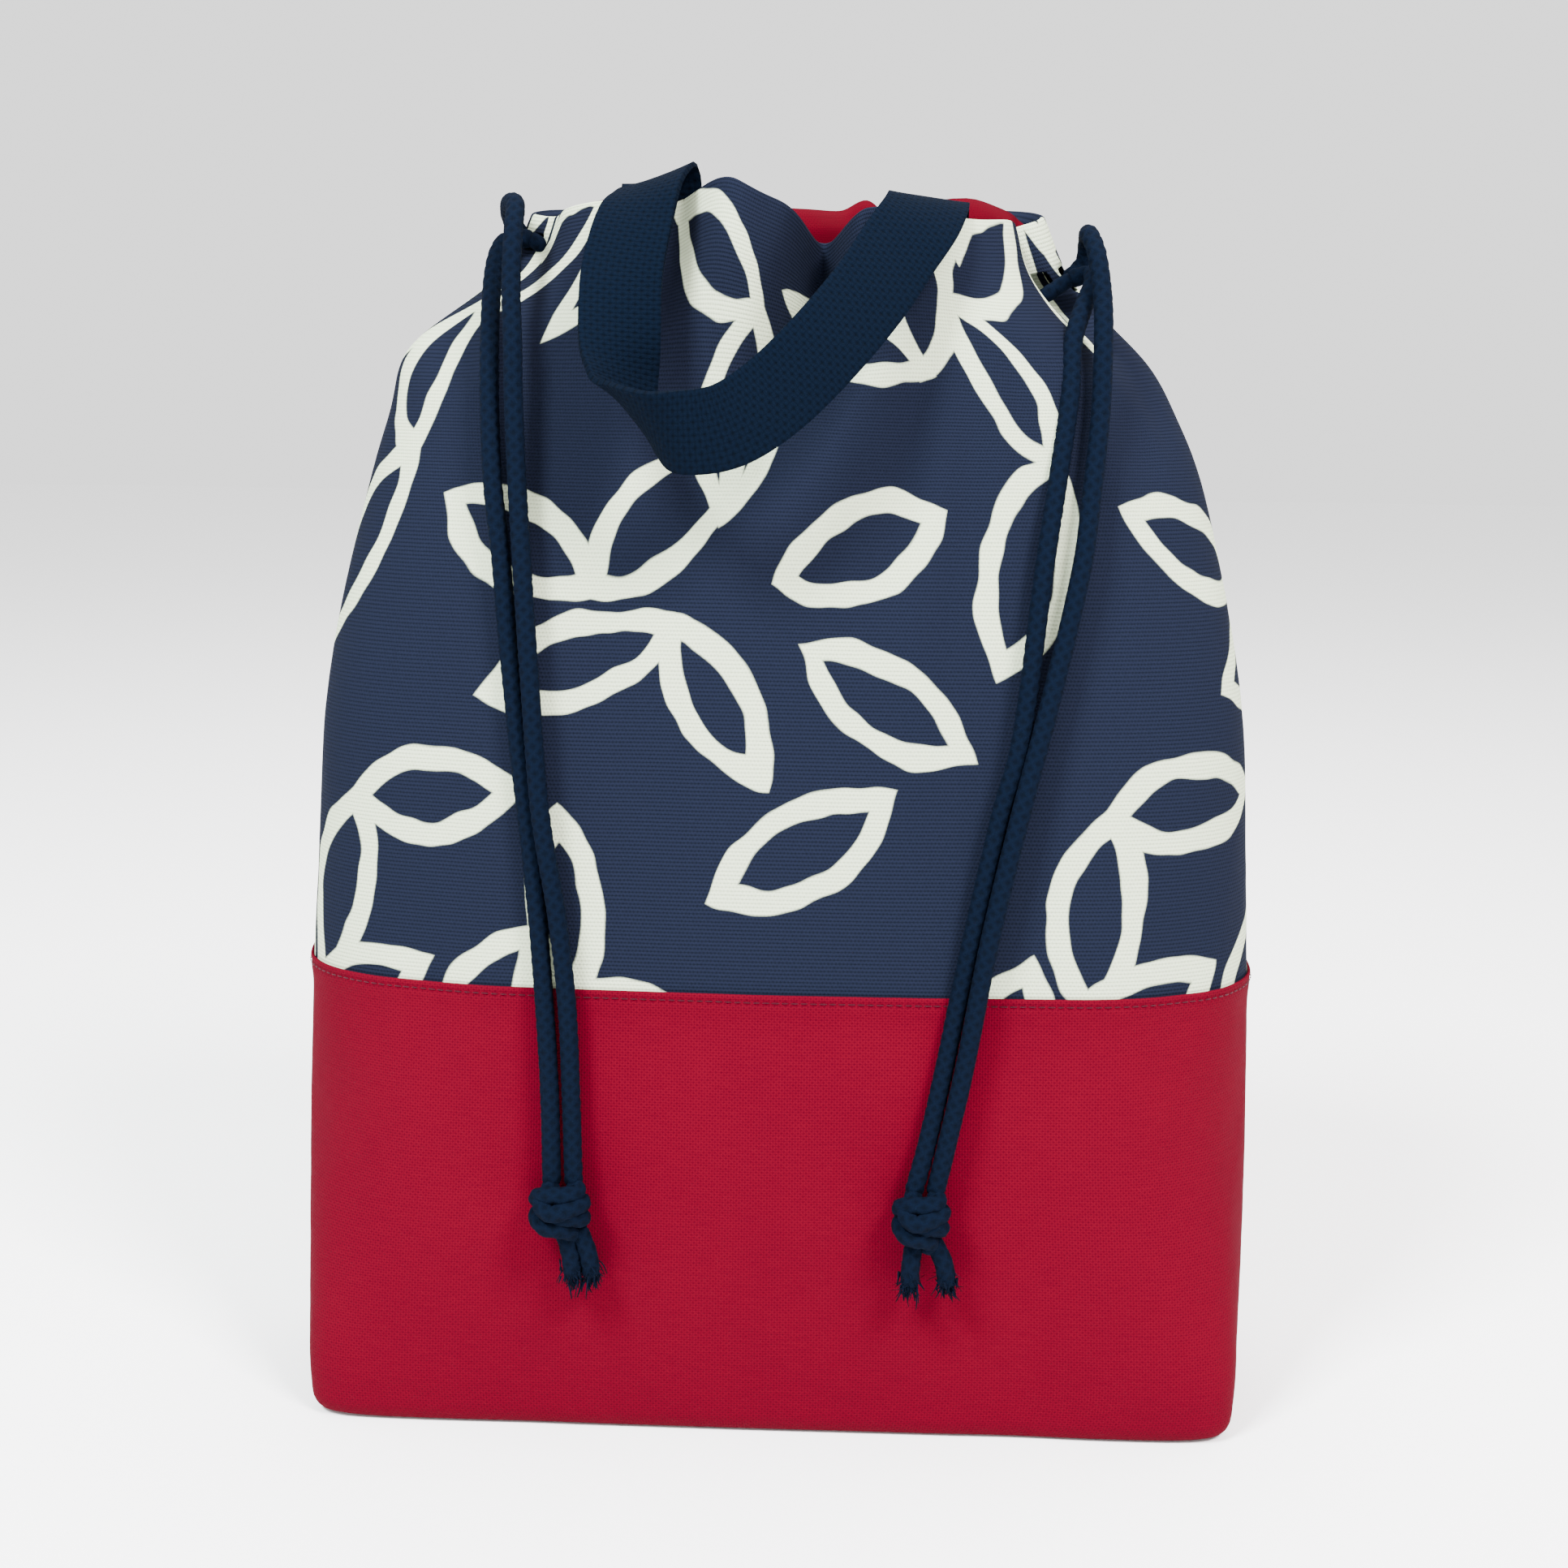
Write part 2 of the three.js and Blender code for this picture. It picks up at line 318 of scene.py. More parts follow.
def new_material(name: str) -> tuple[bpy.types.Material, bpy.types.NodeTree]:
    """An empty node material and its tree."""
    material = bpy.data.materials.new(name)
    material.use_nodes = True
    material.node_tree.nodes.clear()
    return material, material.node_tree


def cloth_place(
    tree: bpy.types.NodeTree,
) -> tuple[bpy.types.NodeSocket, bpy.types.NodeSocket, bpy.types.NodeSocket]:
    """Where a point lies on the cut cloth, in millimetres.

    Args:
        tree: the material's tree.

    Returns:
        The place as a vector, then across the cloth and up it.
    """
    uv = add_node(tree, "ShaderNodeUVMap", uv_map=CLOTH_UV)
    scaled = add_node(
        tree, "ShaderNodeVectorMath", {0: uv.outputs[0], "Scale": 1 / MM}, operation="SCALE"
    )
    split = add_node(tree, "ShaderNodeSeparateXYZ", {0: scaled.outputs[0]})
    return scaled.outputs[0], split.outputs[0], split.outputs[1]


def mixed(
    tree: bpy.types.NodeTree,
    share: bpy.types.NodeSocket,
    first: bpy.types.NodeSocket | str,
    second: bpy.types.NodeSocket | str,
) -> bpy.types.NodeSocket:
    """A colour between two others.

    Args:
        tree: the material's tree.
        share: how much of the second colour there is, 0 to 1.
        first: a hex colour, or the output socket that gives it.
        second: a hex colour, or the output socket that gives it.

    Returns:
        The colour's output socket.
    """
    ends = [srgb(end) if isinstance(end, str) else end for end in (first, second)]
    node = add_node(tree, "ShaderNodeMix", {"Factor": share, 6: ends[0], 7: ends[1]}, data_type="RGBA")
    return node.outputs[2]


def speckle(
    tree: bpy.types.NodeTree, place: bpy.types.NodeSocket, scale: float, detail: float, **inputs: float
) -> bpy.types.NodeSocket:
    """A soft noise from 0 to 1, for slubs and loose fibres.

    Args:
        tree: the material's tree.
        place: where to read it, usually in millimetres of cloth.
        scale: how many specks there are to one unit of the place.
        detail: how many finer noises lie over the first.
        inputs: further inputs of the noise, by name.

    Returns:
        The noise's output socket.
    """
    given = {"Vector": place, "Scale": scale, "Detail": detail, **inputs}
    return add_node(tree, "ShaderNodeTexNoise", given).outputs[0]


def fabric_shader(
    tree: bpy.types.NodeTree,
    color: bpy.types.NodeSocket,
    height: bpy.types.NodeSocket,
    depth: float,
    roughness: float,
    sheen: float = 0.0,
) -> None:
    """Ends a fabric's tree with a rough shader that hardly shines.

    Args:
        tree: the material's tree.
        color: the colour.
        height: the weave's height, 0 to 1.
        depth: what a height of 1 stands for, in metres.
        roughness: the shader's roughness.
        sheen: how much soft light the fibres catch at the edges.
    """
    bump = add_node(tree, "ShaderNodeBump", {"Height": height, "Distance": depth, "Strength": 0.8})
    shader = add_node(
        tree,
        "ShaderNodeBsdfPrincipled",
        {
            "Base Color": color,
            "Roughness": roughness,
            "Normal": bump.outputs[0],
            "Sheen Weight": sheen,
            "Sheen Roughness": 0.5,
            "Specular IOR Level": 0.03,
        },
    )
    add_node(tree, "ShaderNodeOutputMaterial", {0: shader.outputs[0]})


@dataclass(frozen=True)
class Weave:
    """A plain weave: threads of two directions that pass over and under each other."""

    across: float  # distance between two upright threads, in mm
    up: float  # distance between two level threads, in mm
    level_share: float = 0.5  # how far the level threads stand proud, 0 to 1
    crossing_share: float = 0.35  # how much of the height comes from threads that pass over each other

    def height(
        self, tree: bpy.types.NodeTree, x: bpy.types.NodeSocket, y: bpy.types.NodeSocket
    ) -> bpy.types.NodeSocket:
        """The weave's height.

        Args:
            tree: the material's tree.
            x: millimetres across the cloth.
            y: millimetres up the cloth.

        Returns:
            A height from 0 to 1.
        """
        turn_x = calculate(tree, "MULTIPLY", x, math.pi / self.across)
        turn_y = calculate(tree, "MULTIPLY", y, math.pi / self.up)
        rib_x = calculate(tree, "ABSOLUTE", calculate(tree, "SINE", turn_x))
        rib_y = calculate(tree, "ABSOLUTE", calculate(tree, "SINE", turn_y))
        cosines = [calculate(tree, "COSINE", turn) for turn in (turn_x, turn_y)]
        over = calculate(tree, "MULTIPLY_ADD", calculate(tree, "MULTIPLY", *cosines), 0.5, 0.5)
        upright = calculate(tree, "MULTIPLY", rib_x, 1 - self.level_share)
        ribs = calculate(tree, "MULTIPLY_ADD", rib_y, self.level_share, upright)
        ribs = calculate(tree, "MULTIPLY", ribs, 1 - self.crossing_share)
        return calculate(tree, "MULTIPLY_ADD", over, self.crossing_share, ribs)


@dataclass(frozen=True)
class Leaf:
    """One leaf outline of the repeat: two arcs that meet in a point at each end."""

    x: float
    y: float
    turn: float
    length: float
    width: float


@dataclass(frozen=True)
class Sprig:
    """A chain of leaves that touch tip to tip: where it starts, then heading, length and width of each."""

    x: float
    y: float
    chain: tuple[tuple[float, float, float], ...]

    def leaves(self) -> list[Leaf]:
        """The chain's leaves, each starting at the last one's tip."""
        made, tip = [], np.array((self.x, self.y))
        for heading, length, width in self.chain:
            turn = math.radians(heading)
            step = length * np.array((math.cos(turn), math.sin(turn)))
            middle = tip + step / 2
            made.append(Leaf(middle[0], middle[1], heading, length, width))
            tip = tip + step
        return made


@dataclass(frozen=True)
class LeafPrint:
    """A repeat of loose hand-drawn sprigs of leaf outlines, in millimetres of cut cloth."""

    repeat: tuple[float, float] = (262.0, 248.0)
    stroke: float = 7.6
    wobble: float = 2.6
    sprigs: tuple[Sprig, ...] = (
        Sprig(10, 12, ((66, 72, 27), (112, 58, 22), (26, 66, 26))),
        Sprig(66, 60, ((-22, 64, 23), (40, 68, 30))),
        Sprig(96, 2, ((18, 64, 24), (-54, 56, 22))),
        Sprig(172, 56, ((82, 70, 28), (152, 60, 24), (98, 54, 21))),
        Sprig(196, 36, ((22, 62, 25),)),
        Sprig(200, 132, ((-24, 60, 22), (68, 62, 27))),
        Sprig(34, 150, ((80, 64, 26), (4, 60, 24))),
        Sprig(84, 120, ((60, 60, 25),)),
        Sprig(178, 186, ((30, 62, 25),)),
        Sprig(206, 14, ((-30, 60, 24),)),
    )

    def leaf_group(self) -> bpy.types.NodeTree:
        """The node group that gives the distance from a point to one leaf's outline."""
        tree = bpy.data.node_groups.new("leaf_outline", "ShaderNodeTree")
        for name, kind in (
            ("Place", "NodeSocketVector"), ("Centre", "NodeSocketVector"), ("Turn", "NodeSocketFloat"),
            ("Length", "NodeSocketFloat"), ("Width", "NodeSocketFloat"),
        ):
            tree.interface.new_socket(name, in_out="INPUT", socket_type=kind)
        tree.interface.new_socket("Distance", in_out="OUTPUT", socket_type="NodeSocketFloat")
        given = add_node(tree, "NodeGroupInput")
        apart = add_node(
            tree,
            "ShaderNodeVectorMath",
            {0: given.outputs["Place"], 1: given.outputs["Centre"]},
            operation="SUBTRACT",
        )
        half = (self.repeat[0] / 2, self.repeat[1] / 2, 1.0)
        wrapped = add_node(
            tree, "ShaderNodeVectorMath", {0: apart.outputs[0], 1: half, 2: tuple(-h for h in half)},
            operation="WRAP",
        )
        turned = add_node(
            tree, "ShaderNodeVectorRotate", {"Vector": wrapped.outputs[0], "Angle": given.outputs["Turn"]},
            rotation_type="Z_AXIS",
        )
        split = add_node(tree, "ShaderNodeSeparateXYZ", {0: turned.outputs[0]})
        # Two equal arcs of radius r, whose centres lie r less half the width to each side.
        half_length = calculate(tree, "MULTIPLY", given.outputs["Length"], 0.5)
        half_width = calculate(tree, "MULTIPLY", given.outputs["Width"], 0.5)
        width_squared = calculate(tree, "MULTIPLY", half_width, half_width)
        squares = calculate(tree, "MULTIPLY_ADD", half_length, half_length, width_squared)
        radius = calculate(tree, "DIVIDE", squares, given.outputs["Width"])
        shift = calculate(tree, "SUBTRACT", radius, half_width)
        away = calculate(tree, "ADD", calculate(tree, "ABSOLUTE", split.outputs[1]), shift)
        point = add_node(tree, "ShaderNodeCombineXYZ", {0: split.outputs[0], 1: away})
        reach = add_node(tree, "ShaderNodeVectorMath", {0: point.outputs[0]}, operation="LENGTH")
        edge = calculate(tree, "ABSOLUTE", calculate(tree, "SUBTRACT", reach.outputs["Value"], radius))
        add_node(tree, "NodeGroupOutput", {"Distance": edge})
        return tree

    def distance(self, tree: bpy.types.NodeTree, place: bpy.types.NodeSocket) -> bpy.types.NodeSocket:
        """How far a point is from the nearest outline.

        Args:
            tree: the material's tree.
            place: the point on the cloth, in millimetres.

        Returns:
            The distance in millimetres.
        """
        noise = add_node(
            tree, "ShaderNodeTexNoise", {"Vector": place, "Scale": 0.03, "Detail": 1.0, "Roughness": 0.4}
        )
        centred = add_node(
            tree,
            "ShaderNodeVectorMath",
            {0: noise.outputs["Color"], 1: (0.5, 0.5, 0.5)},
            operation="SUBTRACT",
        )
        moved = add_node(
            tree,
            "ShaderNodeVectorMath",
            {0: centred.outputs[0], 1: (self.wobble * 3,) * 3, 2: place},
            operation="MULTIPLY_ADD",
        )
        flat = add_node(
            tree, "ShaderNodeVectorMath", {0: moved.outputs[0], 1: (1.0, 1.0, 0.0)}, operation="MULTIPLY"
        )
        group = self.leaf_group()
        nearest = None
        for leaf in (leaf for sprig in self.sprigs for leaf in sprig.leaves()):
            one = add_node(tree, "ShaderNodeGroup", node_tree=group)
            tree.links.new(flat.outputs[0], one.inputs["Place"])
            one.inputs["Centre"].default_value = (leaf.x, leaf.y, 0)
            one.inputs["Turn"].default_value = math.radians(-leaf.turn)
            one.inputs["Length"].default_value = leaf.length
            one.inputs["Width"].default_value = leaf.width
            found = one.outputs[0]
            nearest = found if nearest is None else calculate(tree, "MINIMUM", nearest, found)
        return nearest


@dataclass(frozen=True)
class PrintedCanvas:
    """Ribbed cotton canvas in dark navy with pale leaf outlines: the eye gets level ribs and flat ink."""

    ground: str = "04070c"
    ground_worn: str = "121624"
    ink: str = "bac4a9"
    ink_shade: str = "88937b"
    weave: Weave = Weave(0.62, 1.25, 0.85)
    depth: float = 0.35  # mm from the lowest thread to the highest
    ink_edge: float = 0.35  # mm over which the ink fades, to each side of its outline
    pattern: LeafPrint = LeafPrint()

    def material(self) -> bpy.types.Material:
        """Builds the material."""
        material, tree = new_material("printed_cotton_canvas")
        place, x, y = cloth_place(tree)
        height = self.weave.height(tree, x, y)
        slub = calculate(tree, "MULTIPLY", speckle(tree, place, 0.9, 3.0), 0.3)
        tint = calculate(tree, "MULTIPLY_ADD", height, 0.8, slub)
        ground = mixed(tree, tint, self.ground, self.ground_worn)
        pale = mixed(tree, calculate(tree, "MULTIPLY", tint, 0.9), self.ink_shade, self.ink)
        # Half the stroke's width swings round a half of the full stroke, as a loaded brush leaves it.
        stroke = self.pattern.stroke
        half_stroke = calculate(
            tree, "MULTIPLY_ADD", speckle(tree, place, 0.06, 1.0), stroke * 0.55, stroke * 0.225
        )
        outside = calculate(tree, "SUBTRACT", self.pattern.distance(tree, place), half_stroke)
        inked = add_node(
            tree, "ShaderNodeMapRange", {0: outside, 1: self.ink_edge, 2: -self.ink_edge, 3: 0.0, 4: 1.0}
        )
        color = mixed(tree, inked.outputs[0], ground, pale)
        fabric_shader(tree, color, height, self.depth * MM, 0.92)
        return material


@dataclass(frozen=True)
class PlainCanvas:
    """Plain-weave cotton in one dyed colour: the eye gets a fine even grain with slubs."""

    name: str
    dark: str
    light: str
    weave: Weave = Weave(0.9, 0.9)
    depth: float = 0.3  # mm from the lowest thread to the highest

    def material(self) -> bpy.types.Material:
        """Builds the material."""
        material, tree = new_material(self.name)
        place, x, y = cloth_place(tree)
        height = self.weave.height(tree, x, y)
        stretched = add_node(
            tree, "ShaderNodeVectorMath", {0: place, 1: (0.25, 2.2, 1.0)}, operation="MULTIPLY"
        )
        slub = calculate(tree, "MULTIPLY", speckle(tree, stretched.outputs[0], 0.5, 3.0), 0.3)
        tint = calculate(tree, "MULTIPLY_ADD", height, 0.7, slub)
        tint = calculate(tree, "MULTIPLY_ADD", speckle(tree, place, 0.02, 2.0), 0.2, tint)
        fabric_shader(tree, mixed(tree, tint, self.dark, self.light), height, self.depth * MM, 0.92)
        return material


@dataclass(frozen=True)
class BraidedCotton:
    """Round braided cord in dark navy: the eye gets slanting strands that cross over each other."""

    dark: str = "010306"
    light: str = "040b19"
    pitch: float = 4.2  # mm along the cord from one crossing of a strand to the next
    girth: float = 18.8  # mm round the cord
    strands: int = 4  # strands that run each way round

    def material(self) -> bpy.types.Material:
        """Builds the material; its UV runs once round the cord and along it in metres."""
        material, tree = new_material("braided_cotton_cord")
        place, x, y = cloth_place(tree)
        turn = calculate(tree, "MULTIPLY", x, 2 * math.pi * self.strands / self.girth)
        along = calculate(tree, "MULTIPLY", y, 2 * math.pi / self.pitch)
        right = calculate(tree, "SINE", calculate(tree, "ADD", along, turn))
        left = calculate(tree, "SINE", calculate(tree, "SUBTRACT", along, turn))
        braid = calculate(tree, "MULTIPLY_ADD", calculate(tree, "MAXIMUM", right, left), 0.5, 0.5)
        fibre = calculate(tree, "MULTIPLY", speckle(tree, place, 1.7, 4.0, Roughness=0.7), 0.7)
        tint = calculate(tree, "MULTIPLY_ADD", braid, 0.4, fibre)
        fabric_shader(tree, mixed(tree, tint, self.dark, self.light), tint, 0.5 * MM, 0.95)
        return material


@dataclass(frozen=True)
class CottonWebbing:
    """Heavy woven tape in dark navy: the eye gets plump staggered stitches and a tight edge."""

    dark: str = "000205"
    light: str = "030a17"
    weave: Weave = Weave(1.9, 1.5, 0.55)

    def material(self) -> bpy.types.Material:
        """Builds the material."""
        material, tree = new_material("cotton_webbing")
        place, x, y = cloth_place(tree)
        height = self.weave.height(tree, x, y)
        fibre = calculate(tree, "MULTIPLY", speckle(tree, place, 2.0, 3.0), 0.35)
        tint = calculate(tree, "MULTIPLY_ADD", height, 0.65, fibre)
        fabric_shader(tree, mixed(tree, tint, self.dark, self.light), tint, 0.8 * MM, 0.95)
        return material


@dataclass(frozen=True)
class SewingThread:
    """Matt polyester thread: the eye gets small round stitches of one colour."""

    name: str
    color: str

    def material(self) -> bpy.types.Material:
        """Builds the material; a fine noise breaks up the thread's colour."""
        material, tree = new_material(self.name)
        place = add_node(tree, "ShaderNodeTexCoord")
        grain = speckle(tree, place.outputs["Object"], 1500.0, 2.0)
        value = calculate(tree, "MULTIPLY_ADD", grain, 0.5, 0.75)
        color = add_node(tree, "ShaderNodeHueSaturation", {"Color": srgb(self.color), "Value": value})
        fabric_shader(tree, color.outputs[0], grain, 0.05 * MM, 0.7, sheen=0.1)
        return material


@dataclass(frozen=True)
class StudioFloor:
    """Matt white paper sweep: the eye gets an even pale ground with only a faint grain."""

    light: str = "ffffff"
    dark: str = "fbfbfb"

    def material(self) -> bpy.types.Material:
        """Builds the material."""
        material, tree = new_material("paper_sweep")
        place = add_node(tree, "ShaderNodeTexCoord")
        grain = speckle(tree, place.outputs["Object"], 400.0, 2.0)
        fabric_shader(tree, mixed(tree, grain, self.dark, self.light), grain, 0.01 * MM, 0.9)
        return material


# ---- the bag's cloth ------------------------------------------------------------------------------


@dataclass(frozen=True)
class Fold:
    """One gather at the mouth: where it lies, how deep it goes in and how far down it runs."""

    place: float  # share of the way round, from the left seam past the front
    depth: float  # mm inwards, or outwards when negative
    width: float  # share of the way round
    reach: float  # mm below the mouth
    lean: float = 0.0  # how far it drifts round, as a share, by its lower end


@dataclass(frozen=True)
class Bulge:
    """A place where the filled cloth stands out, such as the corner of a shoulder."""

    place: float  # share of the way round, from the left seam past the front
    height: float  # mm above the floor
    out: float  # mm
    width: float  # share of the way round
    tall: float  # mm


CANVAS_CLOTH = {  # how the simulated canvas stretches, bends and comes to rest
    "quality": 6,
    "mass": 0.3,
    "tension_stiffness": 12,
    "compression_stiffness": 12,
    "shear_stiffness": 6,
    "bending_stiffness": 2.5,
    "tension_damping": 12,
    "shear_damping": 12,
    "bending_damping": 2,
}


@dataclass
class BagCloth:
    """The bag's outer cloth and lining, simulated as one filled tube and then cut into its pieces."""

    seam_z: float  # metres
    columns: int = 224
    rows: int = 112
    frames: int = 22  # steps of the simulation
    pressure: float = 2.2
    furthest: float = 9 * MM  # how far the simulation may move a point
    relaxing: tuple[float, ...] = (0.35, 0.35)  # how strongly each last pass evens the points out
    mouth_fade: float = 70  # mm below the mouth over which its lifts fade
    floor_rings: int = 14  # rings of faces from the floor's edge to its middle
    # The outer size by height: height, half width, half depth and squareness of the plan, in mm.
    profile: tuple = (
        (0, 153, 47.5, 15),
        (3, 154.8, 49.5, 15),
        (10, 155.8, 51, 13),
        (40, 156.5, 52, 9),
        (80, 156.5, 53, 5.5),
        (153, 155.5, 54, 4.0),
        (200, 153.5, 53, 3.4),
        (235, 152, 52, 3.1),
        (268, 147, 50, 2.8),
        (300, 139.5, 46.5, 2.6),
        (330, 130.5, 41.5, 2.45),
        (352, 119.5, 37, 2.3),
        (368, 103, 33, 2.2),
        (382, 91, 31, 2.1),
        (398, 84, 29, 2.1),
    )
    folds: tuple[Fold, ...] = (
        Fold(0.03, 7, 0.024, 60, 0.012),
        Fold(0.115, -2.5, 0.03, 90, -0.02),
        Fold(0.155, 7, 0.018, 80, 0.012),
        Fold(0.215, -8, 0.024, 60, -0.006),
        Fold(0.285, 30, 0.017, 110, -0.055),
        Fold(0.325, 5, 0.01, 60, -0.03),
        Fold(0.385, -9, 0.05, 120, 0.01),
        Fold(0.478, 13, 0.024, 95, -0.022),
        Fold(0.545, -5, 0.03, 60),
        Fold(0.60, 12, 0.024, 80, 0.01),
        Fold(0.675, -6, 0.035, 90),
        Fold(0.75, 14, 0.024, 75, -0.012),
        Fold(0.83, -6, 0.035, 100),
        Fold(0.895, 12, 0.024, 80, 0.01),
        Fold(0.96, -4, 0.025, 60),
    )
    bulges: tuple[Bulge, ...] = (
        Bulge(0.0, 358, 7, 0.04, 16),
        Bulge(0.30, 320, 4, 0.07, 35),
        Bulge(0.12, 250, 3, 0.06, 60),
        Bulge(0.42, 230, 2.5, 0.06, 70),
        Bulge(0.15, 85, -3, 0.02, 55),
        Bulge(0.355, 70, -2.5, 0.022, 60),
        Bulge(0.255, 100, 2, 0.05, 60),
        Bulge(0.24, 141, -1.5, 0.06, 9),
        Bulge(0.31, 22, -2, 0.05, 16),
        Bulge(0.1, 190, -2.5, 0.02, 60),
        Bulge(0.34, 205, -2, 0.025, 45),
    )
    # Where the mouth rises or, when negative, dips: place, mm and width, as for a fold.
    lifts: tuple[tuple[float, float, float], ...] = (
        (0.2, 6, 0.03), (0.4, -6, 0.05), (0.285, -8, 0.022), (0.02, -3, 0.05), (0.48, -4, 0.04),
        (0.62, 3, 0.05), (0.80, 4, 0.06),
    )
    heights: np.ndarray = field(init=False)
    girth: float = field(init=False)
    points: np.ndarray = field(init=False)
    cut: np.ndarray = field(init=False)

    @property
    def rim(self) -> float:
        """The mouth's height before it is lifted or lowered, in mm."""
        return self.profile[-1][0]

    def __post_init__(self) -> None:
        """Works out the cut cloth's width and the starting shape."""
        self.heights = self.row_heights()
        base = self.plan(80.0, 4000)
        self.girth = length_of(np.vstack([base, base[:1]]))
        rings = [self.ring(z) for z in self.heights]
        self.points = np.asarray(rings) * MM
        self.cut = self.cut_rows()

    def row_heights(self) -> np.ndarray:
        """Heights of the rows in mm, closer together near the floor and the mouth."""
        share = np.linspace(0, 1, self.rows)
        eased = share - 0.055 * np.sin(2 * np.pi * share)
        return eased * self.rim

    def size_at(self, z: float) -> tuple[float, float, float]:
        """Half width, half depth and squareness at a height in mm."""
        known = np.asarray(self.profile, float)
        slopes = np.gradient(known[:, 1:], known[:, 0], axis=0)
        i = int(np.clip(np.searchsorted(known[:, 0], z) - 1, 0, len(known) - 2))
        span = known[i + 1, 0] - known[i, 0]
        t = (z - known[i, 0]) / span
        h = (2 * t**3 - 3 * t**2 + 1, t**3 - 2 * t**2 + t, -2 * t**3 + 3 * t**2, t**3 - t**2)
        below = h[0] * known[i, 1:] + h[1] * span * slopes[i]
        return tuple(below + h[2] * known[i + 1, 1:] + h[3] * span * slopes[i + 1])

    def plan(self, z: float, count: int) -> np.ndarray:
        """Evenly spaced points round the plan, from the left seam past the front, in mm."""
        width, depth, square = self.size_at(z)
        angle = np.linspace(np.pi, 3 * np.pi, 3000)
        waves = np.column_stack([np.cos(angle), np.sin(angle)])
        line = np.array((width, depth)) * np.sign(waves) * np.abs(waves) ** (2 / square)
        run = run_along(line)
        even = ring_share(count) * run[-1]
        return np.column_stack([np.interp(even, run, line[:, k]) for k in range(2)])

    def ring(self, z: float) -> np.ndarray:
        """One row of the filled and gathered shape, in mm."""
        flat = self.plan(z, self.columns)
        around = np.roll(flat, -1, axis=0) - np.roll(flat, 1, axis=0)
        around /= np.linalg.norm(around, axis=1, keepdims=True)
        inward = np.column_stack([-around[:, 1], around[:, 0]])
        share = ring_share(self.columns)
        drop = self.rim - z
        moved = np.zeros(self.columns)
        for fold in self.folds:
            fade = 1 - float(smooth(drop, 0.15 * fold.reach, fold.reach))
            centre = fold.place + fold.lean * drop / fold.reach
            spread = fold.width * (1 + 0.9 * drop / fold.reach)
            moved += fold.depth * fade * hump(share, centre, spread)
        for bulge in self.bulges:
            rise = math.exp(-(((z - bulge.height) / bulge.tall) ** 2))
            moved -= bulge.out * rise * hump(share, bulge.place, bulge.width)
        near_mouth = float(smooth(z, self.rim - self.mouth_fade, self.rim))
        lift = np.zeros(self.columns)
        for place, height, width in self.lifts:
            lift += height * near_mouth * hump(share, place, width)
        level = z + lift - 0.12 * moved * near_mouth
        return np.column_stack([flat + inward * moved[:, None], level])

    def cut_rows(self) -> np.ndarray:
        """How far up the cut cloth each row lies, in metres, along the front."""
        middle = self.points[:, self.columns // 4]
        steps = np.linalg.norm(np.diff(middle, axis=0), axis=1)
        return np.concatenate([[0], np.cumsum(steps)])

    def uncut_shape(self) -> np.ndarray:
        """The same cloth before it is gathered: an even tube as wide as its cut."""
        rings = []
        for row, z in enumerate(self.heights):
            flat = self.points[row].copy()
            here = length_of(np.vstack([flat, flat[:1]])[:, :2])
            # The upper part is gathered from a little less cloth, as its side seams lean in.
            share = 0.80 + 0.20 * float(smooth(300 - z, 0, 180))
            grow = max(1.0, self.girth * MM * share / here)
            flat[:, :2] *= grow
            flat[:, 2] = self.cut[row]
            rings.append(flat)
        return np.asarray(rings)

    def simulate(self) -> None:
        """Fills the tube with pressure, so that the loose cloth settles into its folds."""
        faces = grid_faces(self.rows, self.columns, closed=True)
        obj = mesh_from("cloth_tube", self.points.reshape(-1, 3), faces)
        obj.shape_key_add(name="Basis")
        key = obj.shape_key_add(name="cut")
        key.data.foreach_set("co", self.uncut_shape().astype(np.float32).ravel())
        key.value = 0.0
        held = obj.vertex_groups.new(name="held")
        for row, z in enumerate(self.heights):
            weight = max(float(1 - smooth(z, 4, 16)), float(smooth(z, 350, 376)))
            if weight > 0:
                held.add(range(row * self.columns, (row + 1) * self.columns), weight, "REPLACE")
        cloth = obj.modifiers.new("cloth", "CLOTH")
        settings = cloth.settings
        for name, value in CANVAS_CLOTH.items():
            setattr(settings, name, value)
        settings.use_pressure = True
        settings.uniform_pressure_force = self.pressure
        settings.vertex_group_mass = "held"
        settings.rest_shape_key = key
        settings.effector_weights.gravity = 0
        cloth.collision_settings.use_self_collision = False
        scene = bpy.context.scene
        cloth.point_cache.frame_start = 1
        cloth.point_cache.frame_end = self.frames
        for number in range(1, self.frames + 1):
            scene.frame_set(number)
        now = bpy.context.evaluated_depsgraph_get()
        result = obj.evaluated_get(now).to_mesh()
        moved = np.empty(len(result.vertices) * 3, np.float32)
        result.vertices.foreach_get("co", moved)
        obj.evaluated_get(now).to_mesh_clear()
        scene.frame_set(1)
        mesh = obj.data
        bpy.data.objects.remove(obj)
        bpy.data.meshes.remove(mesh)
        step = moved.reshape(self.points.shape) - self.points
        size = np.linalg.norm(step, axis=2, keepdims=True)
        limited = self.furthest * np.tanh(size / self.furthest)
        self.points = self.points + step * limited / np.maximum(size, 1e-9)
        for share in self.relaxing:
            self.relax(share)
        log.info("cloth settled, moving up to %.1f mm", float(size.max()) / MM)

    def relax(self, share: float) -> None:
        """Evens out each point towards its neighbours; at the floor and the mouth, only towards those in its
        own ring.
        """
        p = self.points
        middle = (np.roll(p, 1, axis=1) + np.roll(p, -1, axis=1)) / 2
        upright = middle.copy()
        upright[1:-1] = (p[:-2] + p[2:]) / 2
        self.points = p + share * ((middle + upright) / 2 - p)

